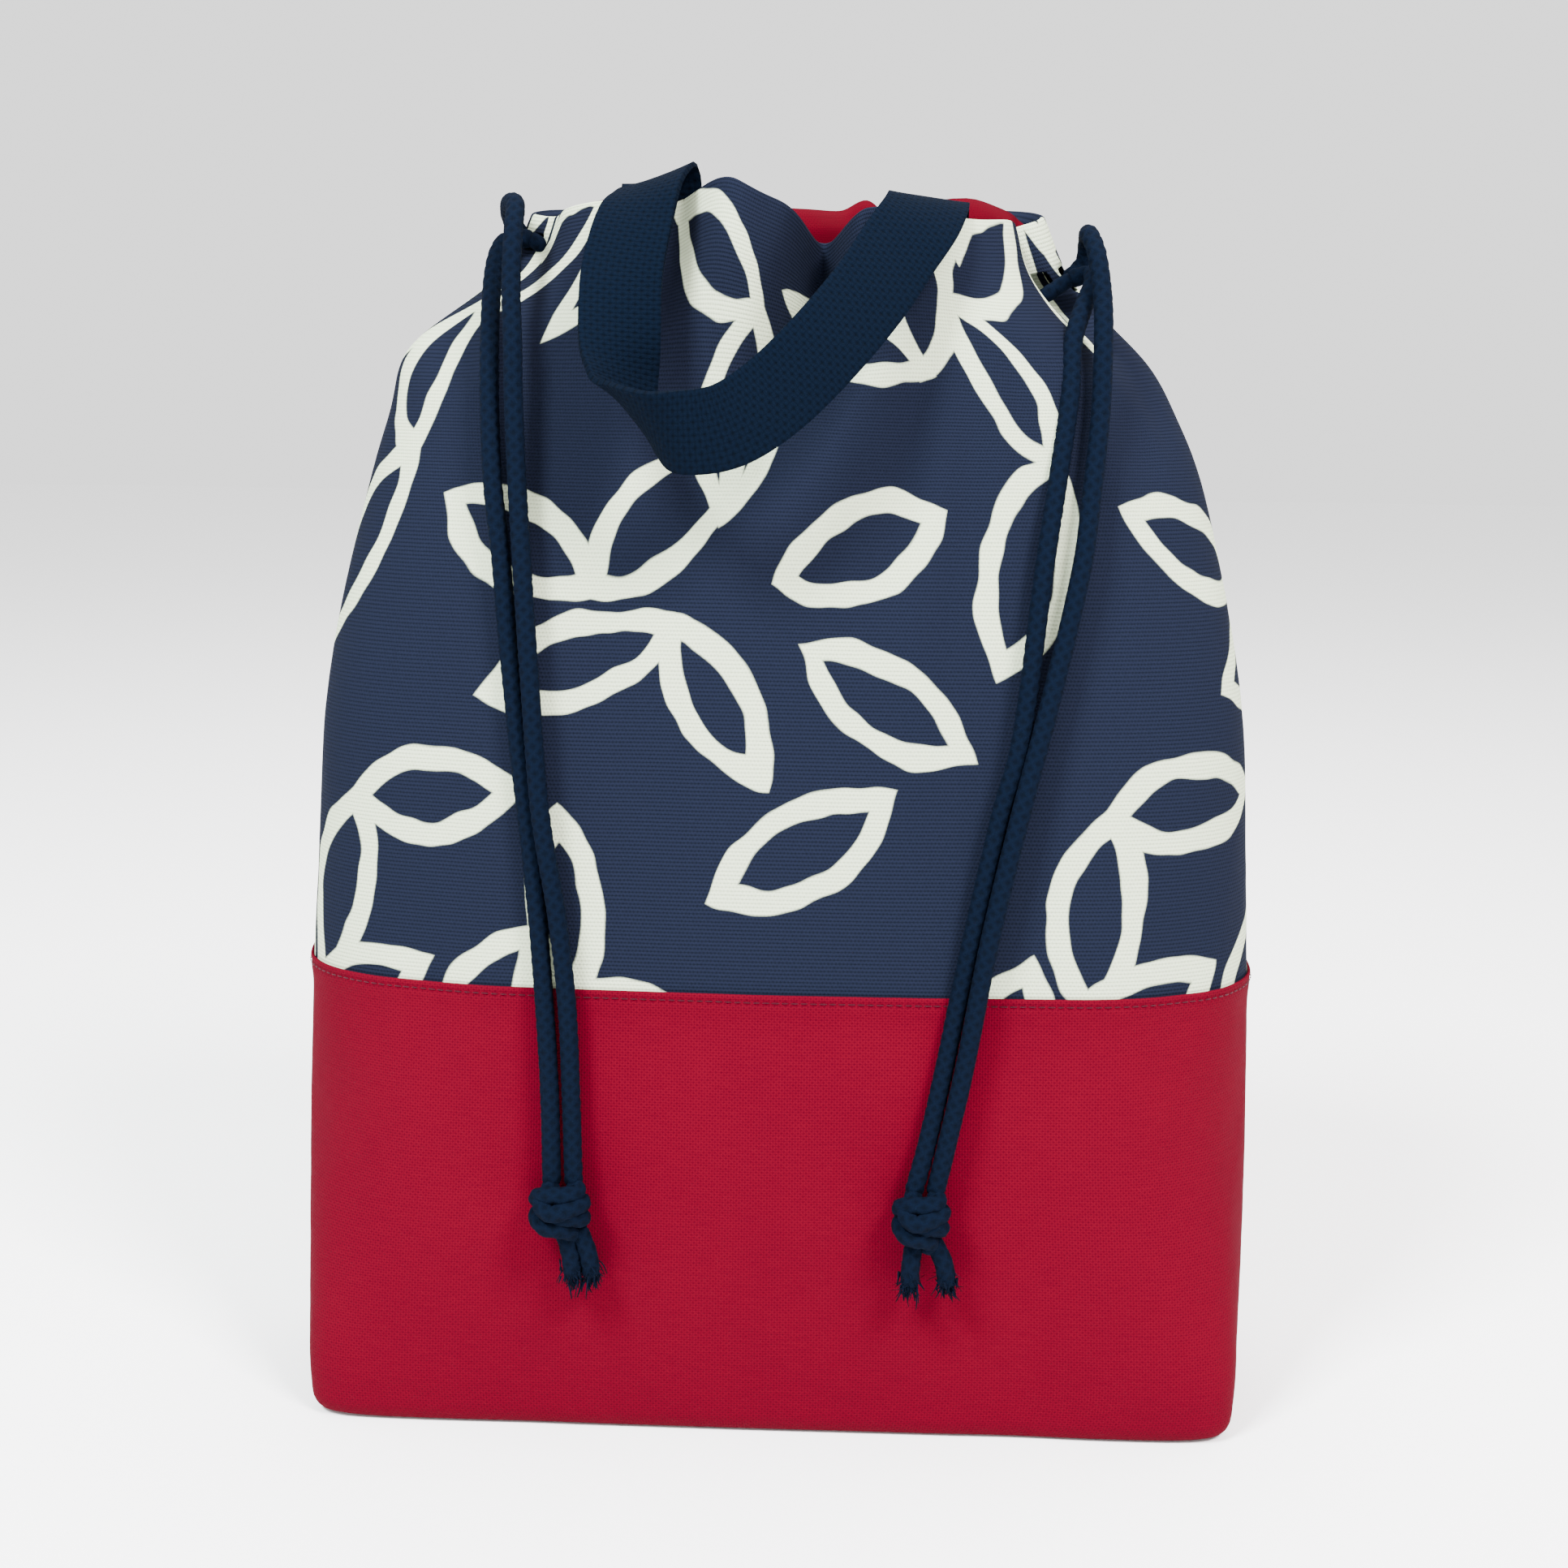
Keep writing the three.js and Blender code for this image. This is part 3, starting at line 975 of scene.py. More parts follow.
    def inward(self) -> np.ndarray:
        """The direction into the bag at each point."""
        p = self.points
        around = np.roll(p, -1, axis=1) - np.roll(p, 1, axis=1)
        upright = np.gradient(p, axis=0)
        normal = np.cross(upright, around)
        return normal / np.linalg.norm(normal, axis=2, keepdims=True)

    def row_of(self, z: float) -> int:
        """The row nearest to a height in metres."""
        return int(np.argmin(np.abs(self.heights * MM - z)))

    def shell(self, name: str, rows: list, uv_rows: list, closed_floor: bool = False) -> bpy.types.Object:
        """A piece of cloth from rows of points.

        Args:
            name: the piece's name.
            rows: the rows from the lowest up; each has one point for each column.
            uv_rows: how far up the cut cloth each row lies, in metres.
            closed_floor: True to fill the first row with a floor.

        Returns:
            The piece, one cloth thick and without a wall yet.
        """
        n = self.columns
        points = [np.asarray(r) for r in rows]
        faces = grid_faces(len(points), n, closed=True)
        uvs = grid_uvs(uv_rows, np.arange(n + 1) / n * self.girth * MM)
        if closed_floor:
            self.add_floor(points, faces, uvs)
        return mesh_from(name, np.vstack(points), faces, np.asarray(uvs))

    def add_floor(self, points: list, faces: list, uvs: list) -> None:
        """Fills the lowest ring with rings of its own and a middle point.

        Args:
            points: rows of points, to which the floor's are added.
            faces: the faces, to which the floor's are added.
            uvs: the corners' places on the cloth, which for the floor are its plan.
        """
        n = self.columns
        pairs = [(i, (i + 1) % n) for i in range(n)]
        edge = outer = points[0]
        low = float(edge[:, 2].min())
        outer_start, start = 0, sum(len(p) for p in points)
        for k in range(1, self.floor_rings):
            share = 1 - k / self.floor_rings
            ring = edge.copy()
            ring[:, :2] *= share
            ring[:, 2] = low + (edge[:, 2] - low) * share**4
            for i, j in pairs:
                faces.append((outer_start + j, outer_start + i, start + i, start + j))
                uvs += [tuple(outer[j, :2]), tuple(outer[i, :2]), tuple(ring[i, :2]), tuple(ring[j, :2])]
            points.append(ring)
            outer, outer_start, start = ring, start, start + n
        points.append(np.array([[0.0, 0.0, low]]))
        for i, j in pairs:
            faces.append((outer_start + j, outer_start + i, start))
            uvs += [tuple(outer[j, :2]), tuple(outer[i, :2]), (0.0, 0.0)]

    def thicken(self, obj: bpy.types.Object, thickness: float, subdivide: bool = True) -> bpy.types.Object:
        """Gives a piece its cloth thickness and smooths it."""
        solid = obj.modifiers.new("cloth_thickness", "SOLIDIFY")
        solid.thickness = thickness
        solid.offset = -1
        solid.use_even_offset = False
        if subdivide:
            smoother = obj.modifiers.new("smooth", "SUBSURF")
            smoother.levels = smoother.render_levels = 1
        return applied(obj)


@dataclass
class BagParts:
    """Cuts the settled cloth into the printed upper, the plain base and the lining."""

    cloth: BagCloth
    canvas: float = 0.9 * MM
    hem_proud: float = 0.9 * MM
    facing: float = 24 * MM  # how far the printed cloth runs down inside the mouth
    channel: float = 7.8 * MM  # room between the outer cloth and its facing, for two cords
    roll: float = 1.2 * MM  # radius of the fold over the mouth
    facing_rows: int = 7
    lining_gap: float = 2.0 * MM
    lining_thickness: float = 0.5 * MM
    behind_facing: float = 1.2 * MM  # from the facing to the lining
    slit_tall: float = 6.0  # mm
    slit_columns: tuple[int, int] = (1, 5)  # where a slit starts and ends, in cloth columns from the seam
    cord_inset: float = 4.8 * MM  # from the outer cloth to the middle of a cord in the channel
    # The base's folded hem from below: mm under its edge, and how far it stands out, in shares of hem_proud.
    hem: tuple[tuple[float, float], ...] = (
        (9.0, 0.2), (6.0, 0.7), (3.4, 1.15), (2.5, 0.85), (1.6, 1.3), (0.5, 1.4), (0.0, 1.0), (0.1, 0.2),
    )
    # Where the lining shows over the mouth: place, mm above its own edge and width, as for a fold.
    peeks: tuple[tuple[float, float, float], ...] = (
        (0.69, 5.0, 0.02), (0.905, 3.5, 0.02), (0.60, 4.0, 0.022), (0.78, 2.0, 0.05),
    )

    def ring_at(self, place: float) -> tuple[np.ndarray, np.ndarray]:
        """A ring of the outer cloth.

        Args:
            place: how far up the cut cloth it lies, in metres.

        Returns:
            One point for each column, and the way into the bag at each of them.
        """
        cloth = self.cloth
        at = np.interp(place, cloth.cut, np.arange(cloth.rows))
        low, share = int(at), at - int(at)
        row = cloth.points[low] * (1 - share) + cloth.points[low + 1] * share
        return row, cloth.inward()[low]

    def printed_upper(self) -> bpy.types.Object:
        """The printed cloth from under the base's hem, over the mouth and down inside it."""
        cloth = self.cloth
        first = cloth.row_of(cloth.seam_z) - 2
        p, inward = cloth.points, cloth.inward()
        rows = [p[r] for r in range(first, cloth.rows)]
        places = [float(cloth.cut[r]) for r in range(first, cloth.rows)]
        top, into = p[-1], inward[-1].copy()
        into[:, 2] = 0
        into /= np.linalg.norm(into, axis=1, keepdims=True)
        for angle in (45, 90, 135):
            turn = math.radians(angle)
            rows.append(top + into * self.roll * (1 - math.cos(turn)) + UP * self.roll * math.sin(turn))
            places.append(places[-1] + self.roll * math.pi / 4)
        for share in np.arange(1, self.facing_rows + 1) / self.facing_rows:
            place = float(cloth.cut[-1]) - share * self.facing
            source = int(round(np.interp(place, cloth.cut, np.arange(cloth.rows))))
            # The facing stands off quickly to make room for the cords, and comes back near its lower end.
            room = math.sin(0.93 * math.pi * share) ** 0.35
            rows.append(p[source] + inward[source] * (2 * self.roll + (self.channel - 2 * self.roll) * room))
            places.append(places[-1] + self.facing / self.facing_rows)
        made = cloth.shell("printed_upper", rows, places)
        made.data.materials.append(PrintedCanvas().material())
        self.open_cord_slits(made, first)
        made = cloth.thicken(made, self.canvas)
        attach(made, BAG_BODY)
        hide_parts("print_front", "print_back", "casing_front", "casing_back")
        return made

    def open_cord_slits(self, made: bpy.types.Object, first: int) -> None:
        """Opens a slit on each side of the side seams, where the cords come out of the channel.

        Args:
            made: the printed upper, still one face thick.
            first: the cloth row that its lowest row came from.
        """
        cloth = self.cloth
        n = cloth.columns
        bm = bmesh.new()
        bm.from_mesh(made.data)
        bm.faces.ensure_lookup_table()
        opened = []
        for seam, exit_z in ((0, LEFT_EXIT_Z), (n // 2, RIGHT_EXIT_Z)):
            reached = cloth.points[:, seam, 2] / MM
            low = int(np.argmin(np.abs(reached - exit_z + self.slit_tall / 2))) - first
            high = int(np.argmin(np.abs(reached - exit_z - self.slit_tall / 2))) - first
            beside = range(*self.slit_columns)
            near = [(seam + k) % n for k in beside] + [(seam - 1 - k) % n for k in beside]
            opened += [bm.faces[row * n + i] for row in range(low, high) for i in near]
        bmesh.ops.delete(bm, geom=opened, context="FACES")
        bm.to_mesh(made.data)
        bm.free()

    def base(self) -> bpy.types.Object:
        """The plain base with its floor and the folded hem that laps over the print."""
        cloth = self.cloth
        last = cloth.row_of(cloth.seam_z)
        rows = [cloth.points[r] for r in range(0, last - 2)]
        places = [float(cloth.cut[r]) for r in range(0, last - 2)]
        seam = float(cloth.cut[last])
        for drop, proud in self.hem:
            row, inward = self.ring_at(seam - drop * MM)
            rows.append(row - inward * proud * self.hem_proud)
            places.append(seam - drop * MM)
        made = cloth.shell("canvas_base", rows, places, closed_floor=True)
        finish = PlainCanvas("crimson_cotton_canvas", "2a000b", "500012")
        made.data.materials.append(finish.material())
        made = cloth.thicken(made, self.canvas)
        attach(made, BAG_BODY)
        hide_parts("base_front", "base_back", "base_floor")
        return made

    def lining(self) -> bpy.types.Object:
        """The thin lining inside, which shows a little over the mouth."""
        cloth = self.cloth
        p, inward = cloth.points, cloth.inward()
        rows, places = [], []
        peek = np.zeros(cloth.columns)
        for place, height, width in self.peeks:
            peek += height * MM * hump(ring_share(cloth.columns), place, width)
        for r in range(0, cloth.rows):
            below = cloth.rim - float(cloth.heights[r])
            # It passes behind the facing, and leans back towards the mouth's edge above it.
            depth = self.lining_gap + (self.channel + self.behind_facing) * float(smooth(-below, -52, -26))
            depth -= 4.6 * MM * float(smooth(-below, -6, 0))
            row = p[r] + inward[r] * depth
            if r == 0:
                row = row + UP * self.lining_gap
            rows.append(row + peek[:, None] * UP * float(smooth(-below, -24, 0)))
            places.append(float(cloth.cut[r]))
        made = cloth.shell("lining", rows, places, closed_floor=True)
        finish = PlainCanvas("crimson_lining_cotton", "280006", "44000d", Weave(0.5, 0.5), 0.1)
        made.data.materials.append(finish.material())
        made = cloth.thicken(made, self.lining_thickness, subdivide=False)
        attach(made, BAG_BODY)
        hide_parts("lining_front", "lining_back", "lining_floor")
        return made

    def cord_in_channel(self, side: Side, ends: list, material: bpy.types.Material) -> bpy.types.Object:
        """The length of a drawstring that runs round inside the channel, out of sight but for its ends.

        Args:
            side: the side where both of its ends come out.
            ends: the places where it goes in and comes out, in metres, in the order of the cloth's columns.
            material: the cord's finish.

        Returns:
            The cord.
        """
        cloth = self.cloth
        row = cloth.row_of(ends[0][2])
        ring = cloth.points[row] + cloth.inward()[row] * self.cord_inset
        start = 0 if side is Side.LEFT else cloth.columns // 2
        ring = np.roll(ring, -start, axis=0)
        beside_seam = cloth.columns // 32
        route = [ends[0], *ring[beside_seam : cloth.columns - beside_seam : 2], ends[1]]
        tube = CordTube(radius=2.6 * MM, sides=12, step=1.6 * MM, relief=0.2 * MM)
        made, line = tube.build(f"{side.value}_cord_in_channel", route, material)
        log.info("%s is %.0f mm long", made.name, length_of(line) / MM)
        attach(made, BAG_BODY)
        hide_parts(f"{side.value}_cord_loop")
        return made

    def seam_line(self, below: float, proud: float) -> np.ndarray:
        """A closed line round the base, some way under its hem.

        Args:
            below: how far under the hem's edge, in metres.
            proud: how far out of the cloth, in metres.

        Returns:
            One point for each column and the first again.
        """
        cloth = self.cloth
        seam = float(cloth.cut[cloth.row_of(cloth.seam_z)])
        row, inward = self.ring_at(seam - below)
        row = row - inward * proud
        return np.vstack([row, row[:1]])


# ---- stitches -------------------------------------------------------------------------------------


@dataclass
class StitchRow:
    """A row of machine stitches laid along a line by Geometry Nodes."""

    name: str
    line: np.ndarray
    pitch: float = 3.0 * MM
    stitch: float = 2.3 * MM
    thickness: float = 0.42 * MM
    seed: int = 7  # for the small differences in stitch length

    def group(self) -> tuple[bpy.types.NodeTree, dict[str, str]]:
        """The node group that makes the stitches, and the identifiers of its inputs."""
        tree = bpy.data.node_groups.new("stitches_on_line", "GeometryNodeTree")
        ids = {}
        for name, kind in (
            ("Line", Socket.GEOMETRY), ("Pitch", Socket.LENGTH), ("Stitch", Socket.LENGTH),
            ("Thickness", Socket.LENGTH), ("Seed", Socket.SEED), ("Thread", Socket.MATERIAL),
        ):
            ids[name] = tree.interface.new_socket(name, in_out="INPUT", socket_type=kind.value).identifier
        tree.interface.new_socket("Stitches", in_out="OUTPUT", socket_type=Socket.GEOMETRY.value)
        given = add_node(tree, "NodeGroupInput").outputs
        curve = add_node(tree, "GeometryNodeMeshToCurve", {0: given["Line"]})
        spaced = {0: curve.outputs[0], "Length": given["Pitch"]}
        even = add_node(tree, "GeometryNodeCurveToPoints", spaced, mode="LENGTH")
        ball = add_node(tree, "GeometryNodeMeshUVSphere", {"Segments": 8, "Rings": 6, "Radius": 0.5})
        spread = {2: 0.9, 3: 1.1, "Seed": given["Seed"]}
        uneven = add_node(tree, "FunctionNodeRandomValue", spread, data_type="FLOAT")
        long = calculate(tree, "MULTIPLY", given["Stitch"], uneven.outputs[1])
        thick = given["Thickness"]
        size = add_node(tree, "ShaderNodeCombineXYZ", {0: thick, 1: thick, 2: long})
        put = add_node(tree, "GeometryNodeInstanceOnPoints", {
            "Points": even.outputs["Points"],
            "Instance": ball.outputs[0],
            "Rotation": even.outputs["Rotation"],
            "Scale": size.outputs[0],
        })
        real = add_node(tree, "GeometryNodeRealizeInstances", {0: put.outputs[0]})
        soft = add_node(tree, "GeometryNodeSetShadeSmooth", {0: real.outputs[0]})
        dressed = add_node(tree, "GeometryNodeSetMaterial", {0: soft.outputs[0], "Material": given["Thread"]})
        add_node(tree, "NodeGroupOutput", {0: dressed.outputs[0]})
        return tree, ids

    def build(self, thread: bpy.types.Material, body: str, slot: str) -> bpy.types.Object:
        """Makes the row as one plain mesh.

        Args:
            thread: the thread's material.
            body: the CAD body that it moves with.
            slot: a slot of the record; not used.

        Returns:
            The stitches.
        """
        mesh = bpy.data.meshes.new(self.name)
        count = len(self.line)
        mesh.from_pydata(self.line.tolist(), [(i, i + 1) for i in range(count - 1)], [])
        obj = link_object(self.name, mesh)
        tree, ids = self.group()
        modifier = obj.modifiers.new("stitches", "NODES")
        modifier.node_group = tree
        modifier[ids["Pitch"]] = self.pitch
        modifier[ids["Stitch"]] = self.stitch
        modifier[ids["Thickness"]] = self.thickness
        modifier[ids["Seed"]] = self.seed
        modifier[ids["Thread"]] = thread
        applied(obj)
        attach(obj, body)
        return obj


# ---- cords ----------------------------------------------------------------------------------------


@dataclass
class CordTube:
    """A round braided cord along a line, with the braid's bumps in its surface."""

    radius: float = 3.0 * MM
    sides: int = 20
    step: float = 1.1 * MM
    pitch: float = 4.2 * MM
    strands: int = 4  # that run each way round the braid
    relief: float = 0.2 * MM
    mean_relief: float = 0.6  # the share of the relief that lies at the cord's own radius
    end_round: float = 0.6  # length of each end's rounding, in radii
    end_size: float = 0.7  # the very end's section, as a share of the cord's

    def build(
        self, name: str, route: list, material: bpy.types.Material
    ) -> tuple[bpy.types.Object, np.ndarray]:
        """Makes the tube.

        Args:
            name: the piece's name.
            route: given points in metres.
            material: the cord's finish.

        Returns:
            The tube and its middle line.
        """
        line = catmull(route, self.step)
        ones, twos = frames_along(line)
        run = run_along(line)
        angle = ring_share(self.sides) * 2 * np.pi
        along = (run / self.pitch * 2 * np.pi)[:, None]
        wave = np.maximum(np.sin(along + self.strands * angle), np.sin(along - self.strands * angle))
        radius = self.radius + self.relief * (wave - self.mean_relief)
        ends = np.minimum(run, run[-1] - run)
        radius *= np.sqrt(np.clip(ends / (self.end_round * self.radius) + self.end_size, 0, 1))[:, None]
        points = (
            line[:, None] + ones[:, None] * (radius * np.cos(angle))[..., None]
            + twos[:, None] * (radius * np.sin(angle))[..., None]
        ).reshape(-1, 3)
        n, rings = self.sides, len(line)
        girth = 2 * math.pi * self.radius
        faces = grid_faces(rings, n, closed=True)
        uvs = grid_uvs(run, np.arange(n + 1) / n * girth)
        faces += [tuple(range(n - 1, -1, -1)), tuple((rings - 1) * n + i for i in range(n))]
        uvs += [(0.0, 0.0)] * (2 * n)
        made = mesh_from(name, points, faces, np.asarray(uvs))
        made.data.materials.append(material)
        return made, line


# The two cords of a knot, in mm from its middle: round both cords, rising to the front, then down between.
KNOT_ROUTES = (
    [
        (-3.3, 0, 9), (-4.5, -2, 6.5), (-6.5, -4.5, 3.5), (-3, -7.6, 1.2), (3, -6.6, 2.6), (6.4, -2.5, 3.2),
        (3.5, 3, 2), (-4, 4, 0), (-8.2, -0.5, -1.8), (-5.5, -5.4, -4), (0, -5.2, -5), (2.6, -2, -7),
        (1.2, 0, -10),
    ],
    [
        (3.3, 0, 9), (4.8, -2.6, 7), (1.5, -5.4, 6.6), (-5, -4.6, 6), (-8.2, 0, 3.4), (-3, 4.6, -1.5),
        (4.5, 3, -3), (6, -2.5, -2), (2, -5.6, -0.6), (-2.5, -3, -3.6), (2, 0.5, -7), (5, 0, -10),
    ],
)


@dataclass
class Drawstring:
    """One drawstring: two free lengths, the knot that joins their ends, and two frayed tails."""

    side: Side
    routes: dict[str, list]  # node name to the points of a free length, in mm
    knot_place: tuple[float, float, float]
    tails: tuple[tuple[float, float], ...]  # how far each tail leans, sideways and to the front, in mm
    tail_length: float = 16.0
    tail_shift: float = 0.0  # how far both tails sit to the right of the knot's middle, in mm
    knot_width: float = 1.0  # how wide the knot is pulled, 1 for as it is drawn
    fibre_count: int = 130
    seed: int = 3

    @property
    def body(self) -> str:
        """The CAD body that the knot belongs to."""
        return f"{self.side.value}_drawstring"

    def build(self, material: bpy.types.Material) -> list[bpy.types.Object]:
        """Makes the whole drawstring outside the channel.

        Args:
            material: the cord's finish.

        Returns:
            Its pieces.
        """
        on_cord = [self.knot(material), *self.frayed_tails(material)]
        made = list(on_cord)
        for number, (node, route) in enumerate(self.routes.items()):
            points = [np.array(p) * MM for p in route]
            tube, line = CordTube().build(f"{node}_cord", points, material)
            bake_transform(tube)
            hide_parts(node)
            log.info("%s is %.0f mm long", tube.name, length_of(line) / MM)
            made.append(tube)
        return made

    def knot(self, material: bpy.types.Material) -> bpy.types.Object:
        """An overhand knot tied in both cords at once."""
        x, y, z = self.knot_place
        tubes = []
        for number, route in enumerate(KNOT_ROUTES):
            points = [np.array((x + self.knot_width * a, y + b, z + c)) * MM for a, b, c in route]
            tube, _ = CordTube(radius=2.9 * MM, step=0.8 * MM).build(f"knot_turn_{number}", points, material)
            tubes.append(tube)
        made = joined(f"{self.side.value}_overhand_knot", tubes)
        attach(made, self.body)
        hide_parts(f"{self.side.value}_knot")
        return made

    def frayed_tails(self, material: bpy.types.Material) -> list[bpy.types.Object]:
        """The two cut ends below the knot, each with loose fibres."""
        made = []
        rng = np.random.default_rng(self.seed)
        x, y, z = self.knot_place
        for number, (lean, forward) in enumerate(self.tails):
            side = -1 if number == 0 else 1
            top = np.array((x + self.tail_shift + side * 2.5, y, z - 6.0))
            low = top + np.array((lean, forward, -self.tail_length))
            middle = (top + low) / 2 + np.array((0.25 * lean, -1.0, 0))
            tube, line = CordTube().build("tail", [top * MM, middle * MM, low * MM], material)
            fibres = self.fibres(rng, line, material)
            piece = joined(f"{self.side.value}_tail_{'ab'[number]}_frayed", [tube, fibres])
            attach(piece, self.body)
            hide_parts(f"{self.side.value}_tail_{'ab'[number]}")
            made.append(piece)
        return made

    def fibres(
        self, rng: np.random.Generator, line: np.ndarray, material: bpy.types.Material
    ) -> bpy.types.Object:
        """Loose yarn ends at a cut end of cord.

        Args:
            rng: the random numbers, drawn in a fixed order.
            line: the tail's middle line, from the knot down.
            material: the cord's finish.

        Returns:
            The fibres as one mesh.
        """
        points, faces, uvs = [], [], []
        end, along = line[-1], line[-1] - line[-4]
        along = along / np.linalg.norm(along)
        for _ in range(self.fibre_count):
            start = end + rng.normal(0, 1.35 * MM, 3) - along * rng.uniform(0, 4) * MM
            heading = along + rng.normal(0, 0.38, 3)
            heading /= np.linalg.norm(heading)
            curl = rng.normal(0, 0.35, 3)
            length = rng.uniform(2.4, 5.6) * MM
            radius = rng.uniform(0.25, 0.5) * MM
            base = len(points)
            for k in range(5):
                share = k / 4
                centre = start + length * share * (heading + curl * share * 0.5)
                for s in range(4):
                    turn = s * math.pi / 2
                    outward = np.array((math.cos(turn), math.sin(turn), 0))
                    points.append(centre + radius * (1 - 0.6 * share) * outward)
            for k in range(4):
                low, high = base + k * 4, base + (k + 1) * 4
                for s in range(4):
                    t = (s + 1) % 4
                    faces.append((low + t, low + s, high + s, high + t))
                    uvs += [(0.0, k * MM)] * 4
            faces += [tuple(base + s for s in range(4)), tuple(base + 16 + s for s in (3, 2, 1, 0))]
            uvs += [(0.0, 0.0)] * 8
        made = mesh_from("fibres", np.asarray(points), faces, np.asarray(uvs))
        made.data.materials.append(material)
        return made


def joined(name: str, parts: list[bpy.types.Object]) -> bpy.types.Object:
    """Several objects as one mesh.

    Args:
        name: the joined piece's name.
        parts: the objects, which are used up.

    Returns:
        The piece.
    """
    bm = bmesh.new()
    for part in parts:
        bm.from_mesh(part.data)
    mesh = bpy.data.meshes.new(name)
    bm.to_mesh(mesh)
    bm.free()
    for material in parts[0].data.materials:
        mesh.materials.append(material)
    mesh.polygons.foreach_set("use_smooth", [True] * len(mesh.polygons))
    for part in parts:
        old = part.data
        bpy.data.objects.remove(part)
        bpy.data.meshes.remove(old)
    return link_object(name, mesh)


# ---- handle ---------------------------------------------------------------------------------------


@dataclass
class WebbingHandle:
    """The webbing handle: a loop that hangs over the front, and its two ends sewn inside the mouth."""

    width: float = 25 * MM
    thickness: float = 1.7 * MM
    across_steps: int = 10
    cupped: float = 0.5 * MM  # how far its edges curl towards one face
    soft_edge: float = 0.6 * MM
    end_drop: float = 6 * MM  # how much lower the mouth dips at the right end
    end_leans: tuple[float, float] = (0.12, -0.16)  # how far the left and right end turn with the cloth
    # The middle of the webbing and the direction across it, from the left end to the right, in mm.
    stations: tuple = (
        ((-39, -16, 397.5), (25, -3, 0)),
        ((-39, -20.5, 405.6), (24, -1, 7)),
        ((-42, -30, 402), (23, 0, 10)),
        ((-45, -38, 393), (23, 1, 9)),
        ((-48, -47, 376), (24, 2, 5)),
        ((-48, -54, 359), (24, 6, 0)),
        ((-47, -59, 346), (19, 9, -12)),
        ((-45, -65, 337), (16, 8, -18)),
        ((-39, -74, 332), (14, 6, -20)),
        ((-29, -80, 329), (13, 4, -21)),
        ((-14, -80, 331), (15, 4, -19)),
        ((0, -76, 340), (18, 4, -17)),
        ((14, -70, 354), (20, 5, -14)),
        ((27, -60, 370), (21, 5, -12)),
        ((36, -50, 384), (22, 4, -10)),
        ((42, -42, 393), (23, 3, -8)),
        ((44.5, -33, 398.5), (24, 3, -5)),
        ((45, -22, 399.5), (24, 2, -2)),
        ((45, -16, 392), (25, 3, 0)),
    )

    def ribbon(
        self, name: str, middles: list, acrosses: list, material: bpy.types.Material
    ) -> bpy.types.Object:
        """A strip of webbing.

        Args:
            name: the piece's name.
            middles: points of its middle line, in metres.
            acrosses: the direction across it at each of those points.
            material: the webbing's finish.

        Returns:
            The strip, with its thickness.
        """
        known = [np.concatenate([m, np.asarray(a, float) * MM]) for m, a in zip(middles, acrosses)]
        both = catmull(known, 1.5 * MM)
        line, side = both[:, :3], both[:, 3:]
        along = np.gradient(line, axis=0)
        along /= np.linalg.norm(along, axis=1, keepdims=True)
        side = side - along * np.sum(side * along, axis=1, keepdims=True)
        side /= np.linalg.norm(side, axis=1, keepdims=True)
        share = np.linspace(-0.5, 0.5, self.across_steps + 1)
        face_out = np.cross(along, side)
        cup = self.cupped * (4 * share**2)
        points = line[:, None] + side[:, None] * (share * self.width)[None, :, None]
        points = points + face_out[:, None] * cup[None, :, None]
        faces = grid_faces(len(line), len(share), closed=False)
        uvs = grid_uvs(run_along(line), (share + 0.5) * self.width)
        made = mesh_from(name, points.reshape(-1, 3), faces, np.asarray(uvs))
        made.data.materials.append(material)
        solid = made.modifiers.new("webbing_thickness", "SOLIDIFY")
        solid.thickness = self.thickness
        solid.offset = 0
        edge = made.modifiers.new("soft_edge", "BEVEL")
        edge.width = self.soft_edge
        edge.segments = 2
        return applied(made)

    def loop(self, material: bpy.types.Material) -> bpy.types.Object:
        """The free loop, which swings."""
        middles = [np.array(m) * MM for m, _ in self.stations]
        made = self.ribbon("handle_loop", middles, [a for _, a in self.stations], material)
        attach(made, "handle")
        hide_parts("handle_strap")
        return made

    def end(self, node: str, material: bpy.types.Material) -> bpy.types.Object:
        """One sewn end, flat inside the mouth.

        Args:
            node: the CAD node that it stands for.
            material: the webbing's finish.

        Returns:
            The end.
        """
        low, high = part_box(node)
        x = (low[0] + high[0]) / 2
        y = (low[1] + high[1]) / 2
        lean = self.end_leans[int(x > 0)]
        top = high[2] - self.end_drop * (x > 0)
        middles = [np.array((x, y, z)) for z in np.linspace(low[2], top, 5)]
        made = self.ribbon(f"{node}_webbing", middles, [(25, -25 * lean, 0)] * 5, material)
        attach(made, BAG_BODY)
        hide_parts(node)
        return made


# ---- studio ---------------------------------------------------------------------------------------


@dataclass(frozen=True)
class Lamp:
    """A square soft lamp, aimed at the middle of the bag."""

    name: str
    place: tuple[float, float, float]
    size: float
    power: float
    tint: tuple[float, float, float]

    def hang(self) -> None:
        """Puts the lamp into the scene."""
        data = bpy.data.lights.new(self.name, "AREA")
        data.size = self.size
        data.energy = self.power
        data.color = self.tint
        made = bpy.data.objects.new(self.name, data)
        bpy.context.scene.collection.objects.link(made)
        made.location = self.place
        aim = Vector((0, 0, 0.2)) - Vector(self.place)
        made.rotation_euler = aim.to_track_quat("-Z", "Y").to_euler()


